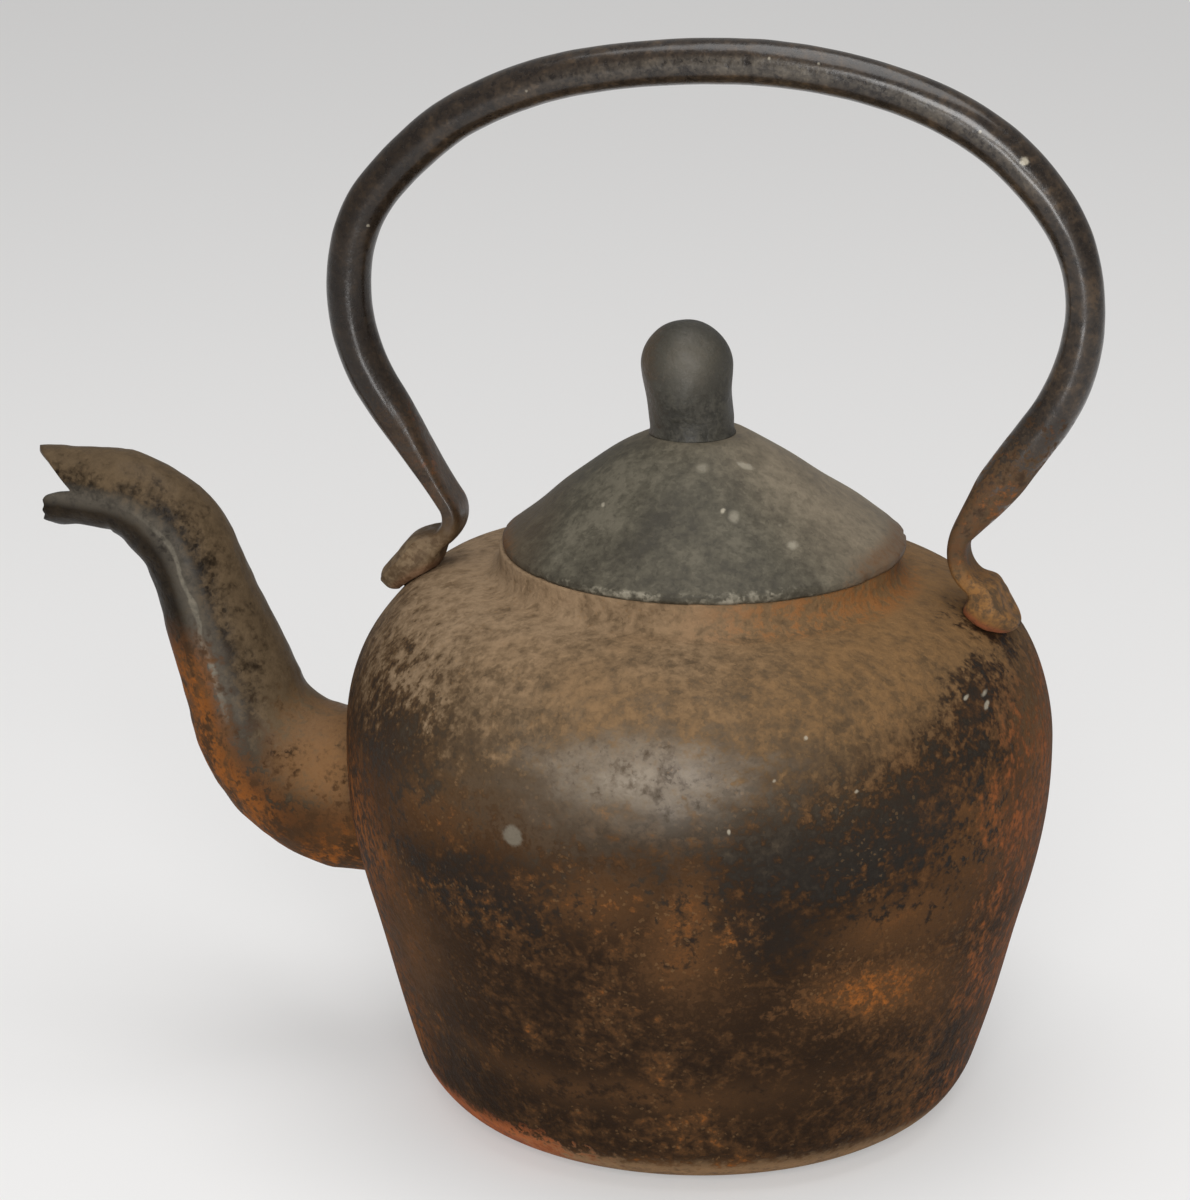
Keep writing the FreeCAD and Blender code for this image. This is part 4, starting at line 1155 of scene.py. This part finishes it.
def spout_finish():
    """Dark grey-brown iron, tan above and at the root, a painted pale sheen and a pale seam line in front,
    orange rust below.
    """
    material, place = new_finish("spout_iron")
    depth, height = place.part(1), place.part(2)
    broad = place.noise(24, 3, 0.5)
    fine = place.noise(420, 3, 0.6)
    grain = place.grain(72)
    upper = place.mark()
    ragged = grain * 1.4 + (broad - 0.5)
    colour = (grain + (broad - 0.5)).step(-0.4, 0.45).blend(HORN_DARK, HORN_LIGHT)
    tan = (upper + ragged * 0.6).step(0.05, 0.85)
    colour = (tan * (0.56 + 0.3 * grain)).blend(colour, HORN_TAN)
    # Painted highlight: a grey sheen down the near side of the horn
    near = depth.step(0, -0.006)
    painted_highlight = (upper * upper + ragged * 0.08).step(0.16, -0.02) * near * height.step(0.085, 0.120)
    colour = (painted_highlight * (0.45 + 0.7 * grain)).blend(colour, HIGHLIGHT_GREY)
    wander = upper + (place.noise(90, 4, 0.6) - 0.5) * 0.3
    riser = height.step(0.100, 0.125) * height.step(0.176, 0.160)
    seam = (wander * wander).step(0.0050, 0.0) * near * riser
    colour = (seam * (0.16 + 0.2 * grain)).blend(colour, CHALK)
    root = place.patch(*SPOUT_ROOT, ragged * 1.4, 0.7)
    colour = (root * (0.7 + 1.4 * grain)).blend(colour, ROOT_TAN)
    under = (upper + ragged * 0.6).step(0.28, -0.26) * (height + ragged * 0.010).step(0.142, 0.124)
    rust = grain.step(-0.2, 0.4).blend(BROWN_RUST, ORANGE_RUST)
    dark_bits = (place.noise(110, 4, 0.65) - 0.5 + grain * 0.4).step(0.02, -0.16)
    rust = (dark_bits * 0.75).blend(rust, BURNT_BROWN)
    colour = (under * 0.9).blend(colour, rust)
    burnt = place.patch(*SPOUT_BURN, ragged * 1.2, 0.8)
    colour = (burnt * (0.75 + grain)).blend(colour, BURNT_BROWN)
    roughness = 0.42 + 0.2 * grain + 0.25 * under
    close_finish(colour, roughness, grain, 0.0003, 0.06, 0.12 * painted_highlight)
    return material


def rivet_finish():
    """Rusted wrought iron of the rivets and the washer."""
    material, place = new_finish("rivet_rust")
    grain = place.noise(200, 6, 0.7)
    colour = grain.step(0.4, 0.6).blend(BURNT_BROWN, BROWN_RUST)
    close_finish(colour, 0.5 + 0.4 * grain, grain, 0.0006, 0.2)
    return material


# Studio
FLOOR_WHITE = (0.86, 0.855, 0.85, 1)
FLOOR_GLOW = 0.4
FLOOR_ROUGHNESS = 0.9
FLOOR_HALF = 8.0
SKY_WHITE = (1, 0.99, 0.98, 1)
SKY_STRENGTH = 0.35
CAMERA_PLACE = Vector((0.2441, -1.1483, 0.5363))
CAMERA_AIM = Vector((-0.0311, -0.0019, 0.1518))
CAMERA_LENS = 125.88
CAMERA_SENSOR = 36
LAMP_AIM = Vector((0, 0, 0.15))
# Lamps as name, place, size and power
LAMPS = (
    ("front_box", (0.3, -1.5, 0.85), 0.6, 13),
    ("low_box", (0.15, -1.35, 0.15), 0.25, 3),
    ("top_box", (0.1, -0.1, 1.6), 1.2, 14),
)


def camera():
    """Camera at the photo's distance and height, a long lens aimed at the shoulder's top."""
    data = bpy.data.cameras.new("photo_view")
    data.sensor_width = CAMERA_SENSOR
    data.lens = CAMERA_LENS
    made = bpy.data.objects.new("photo_view", data)
    made.location = CAMERA_PLACE
    made.rotation_mode = "QUATERNION"
    made.rotation_quaternion = (CAMERA_AIM - CAMERA_PLACE).to_track_quat("-Z", "Y")
    bpy.context.scene.collection.objects.link(made)
    bpy.context.scene.camera = made


def lamp(name, place, size, power):
    """Square soft box that faces the kettle."""
    data = bpy.data.lights.new(name, "AREA")
    data.size = size
    data.energy = power
    made = bpy.data.objects.new(name, data)
    made.location = place
    made.rotation_mode = "QUATERNION"
    made.rotation_quaternion = (LAMP_AIM - Vector(place)).to_track_quat("-Z", "Y")
    bpy.context.scene.collection.objects.link(made)


def studio():
    """Pale floor, white surroundings and three soft boxes: in front, low in front, and above."""
    mesh = bpy.data.meshes.new("floor")
    corners = [(x * FLOOR_HALF, y * FLOOR_HALF, 0) for x, y in ((-1, -1), (1, -1), (1, 1), (-1, 1))]
    mesh.from_pydata(corners, [], [(0, 1, 2, 3)])
    floor = bpy.data.objects.new("floor", mesh)
    bpy.context.scene.collection.objects.link(floor)
    material, place = new_finish("pale_floor")
    matt = {"Base Color": FLOOR_WHITE, "Roughness": FLOOR_ROUGHNESS}
    plain = place.make("ShaderNodeBsdfPrincipled", {}, matt, "BSDF")
    glow = place.make("ShaderNodeEmission", {}, {"Color": FLOOR_WHITE, "Strength": 1.0})
    seen = place.make("ShaderNodeLightPath", {}, {}, "Is Camera Ray")
    for ray in ("Is Glossy Ray", "Is Transmission Ray"):
        seen = seen.larger(place.make("ShaderNodeLightPath", {}, {}, ray))
    shader = place.make("ShaderNodeMixShader", {}, {0: seen * FLOOR_GLOW, 1: plain, 2: glow})
    place.make("ShaderNodeOutputMaterial", {}, {"Surface": shader})
    mesh.materials.append(material)
    world = bpy.data.worlds.new("studio")
    world.use_nodes = True
    world.node_tree.nodes.clear()
    sky = Wire(world.node_tree)
    light = sky.make("ShaderNodeBackground", {}, {"Color": SKY_WHITE, "Strength": SKY_STRENGTH})
    sky.make("ShaderNodeOutputWorld", {}, {"Surface": light})
    bpy.context.scene.world = world
    for box in LAMPS:
        lamp(*box)
    bpy.context.scene.view_settings.view_transform = "Standard"


def kettle():
    """Every visible piece: seven new skins, and the washer under the lid as it is."""
    piece("pot", [pot_points()], "kettle", "kettle_body", pot_finish())
    horn, upper = spout_points()
    piece("horn_spout", [horn], "kettle", "spout", spout_finish(), ring=True, mark=upper)
    bar, edge = bail_points()
    piece("bail", [bar], "kettle", "bail_handle", bail_finish(), mark=edge)
    piece("lid_cover", [lid_points()], "lid", "lid", lid_finish(), ring=True)
    piece("knob", [knob_points()], "lid", "lid_knob", knob_finish())
    rust = rivet_finish()
    rivets = ((FRONT, "front_rivets", "front_palm_rivets"), (REAR, "rear_rivets", "rear_palm_rivets"))
    for side, name, node in rivets:
        shanks = [rivet_points(side, angle, end) for angle, end in zip(RIVET_ANGLES, RIVET_ENDS)]
        piece(name, shanks, "kettle", node, rust)
    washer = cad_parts["knob_washer"].data.materials
    washer.clear()
    washer.append(rust)


kettle()
camera()
studio()
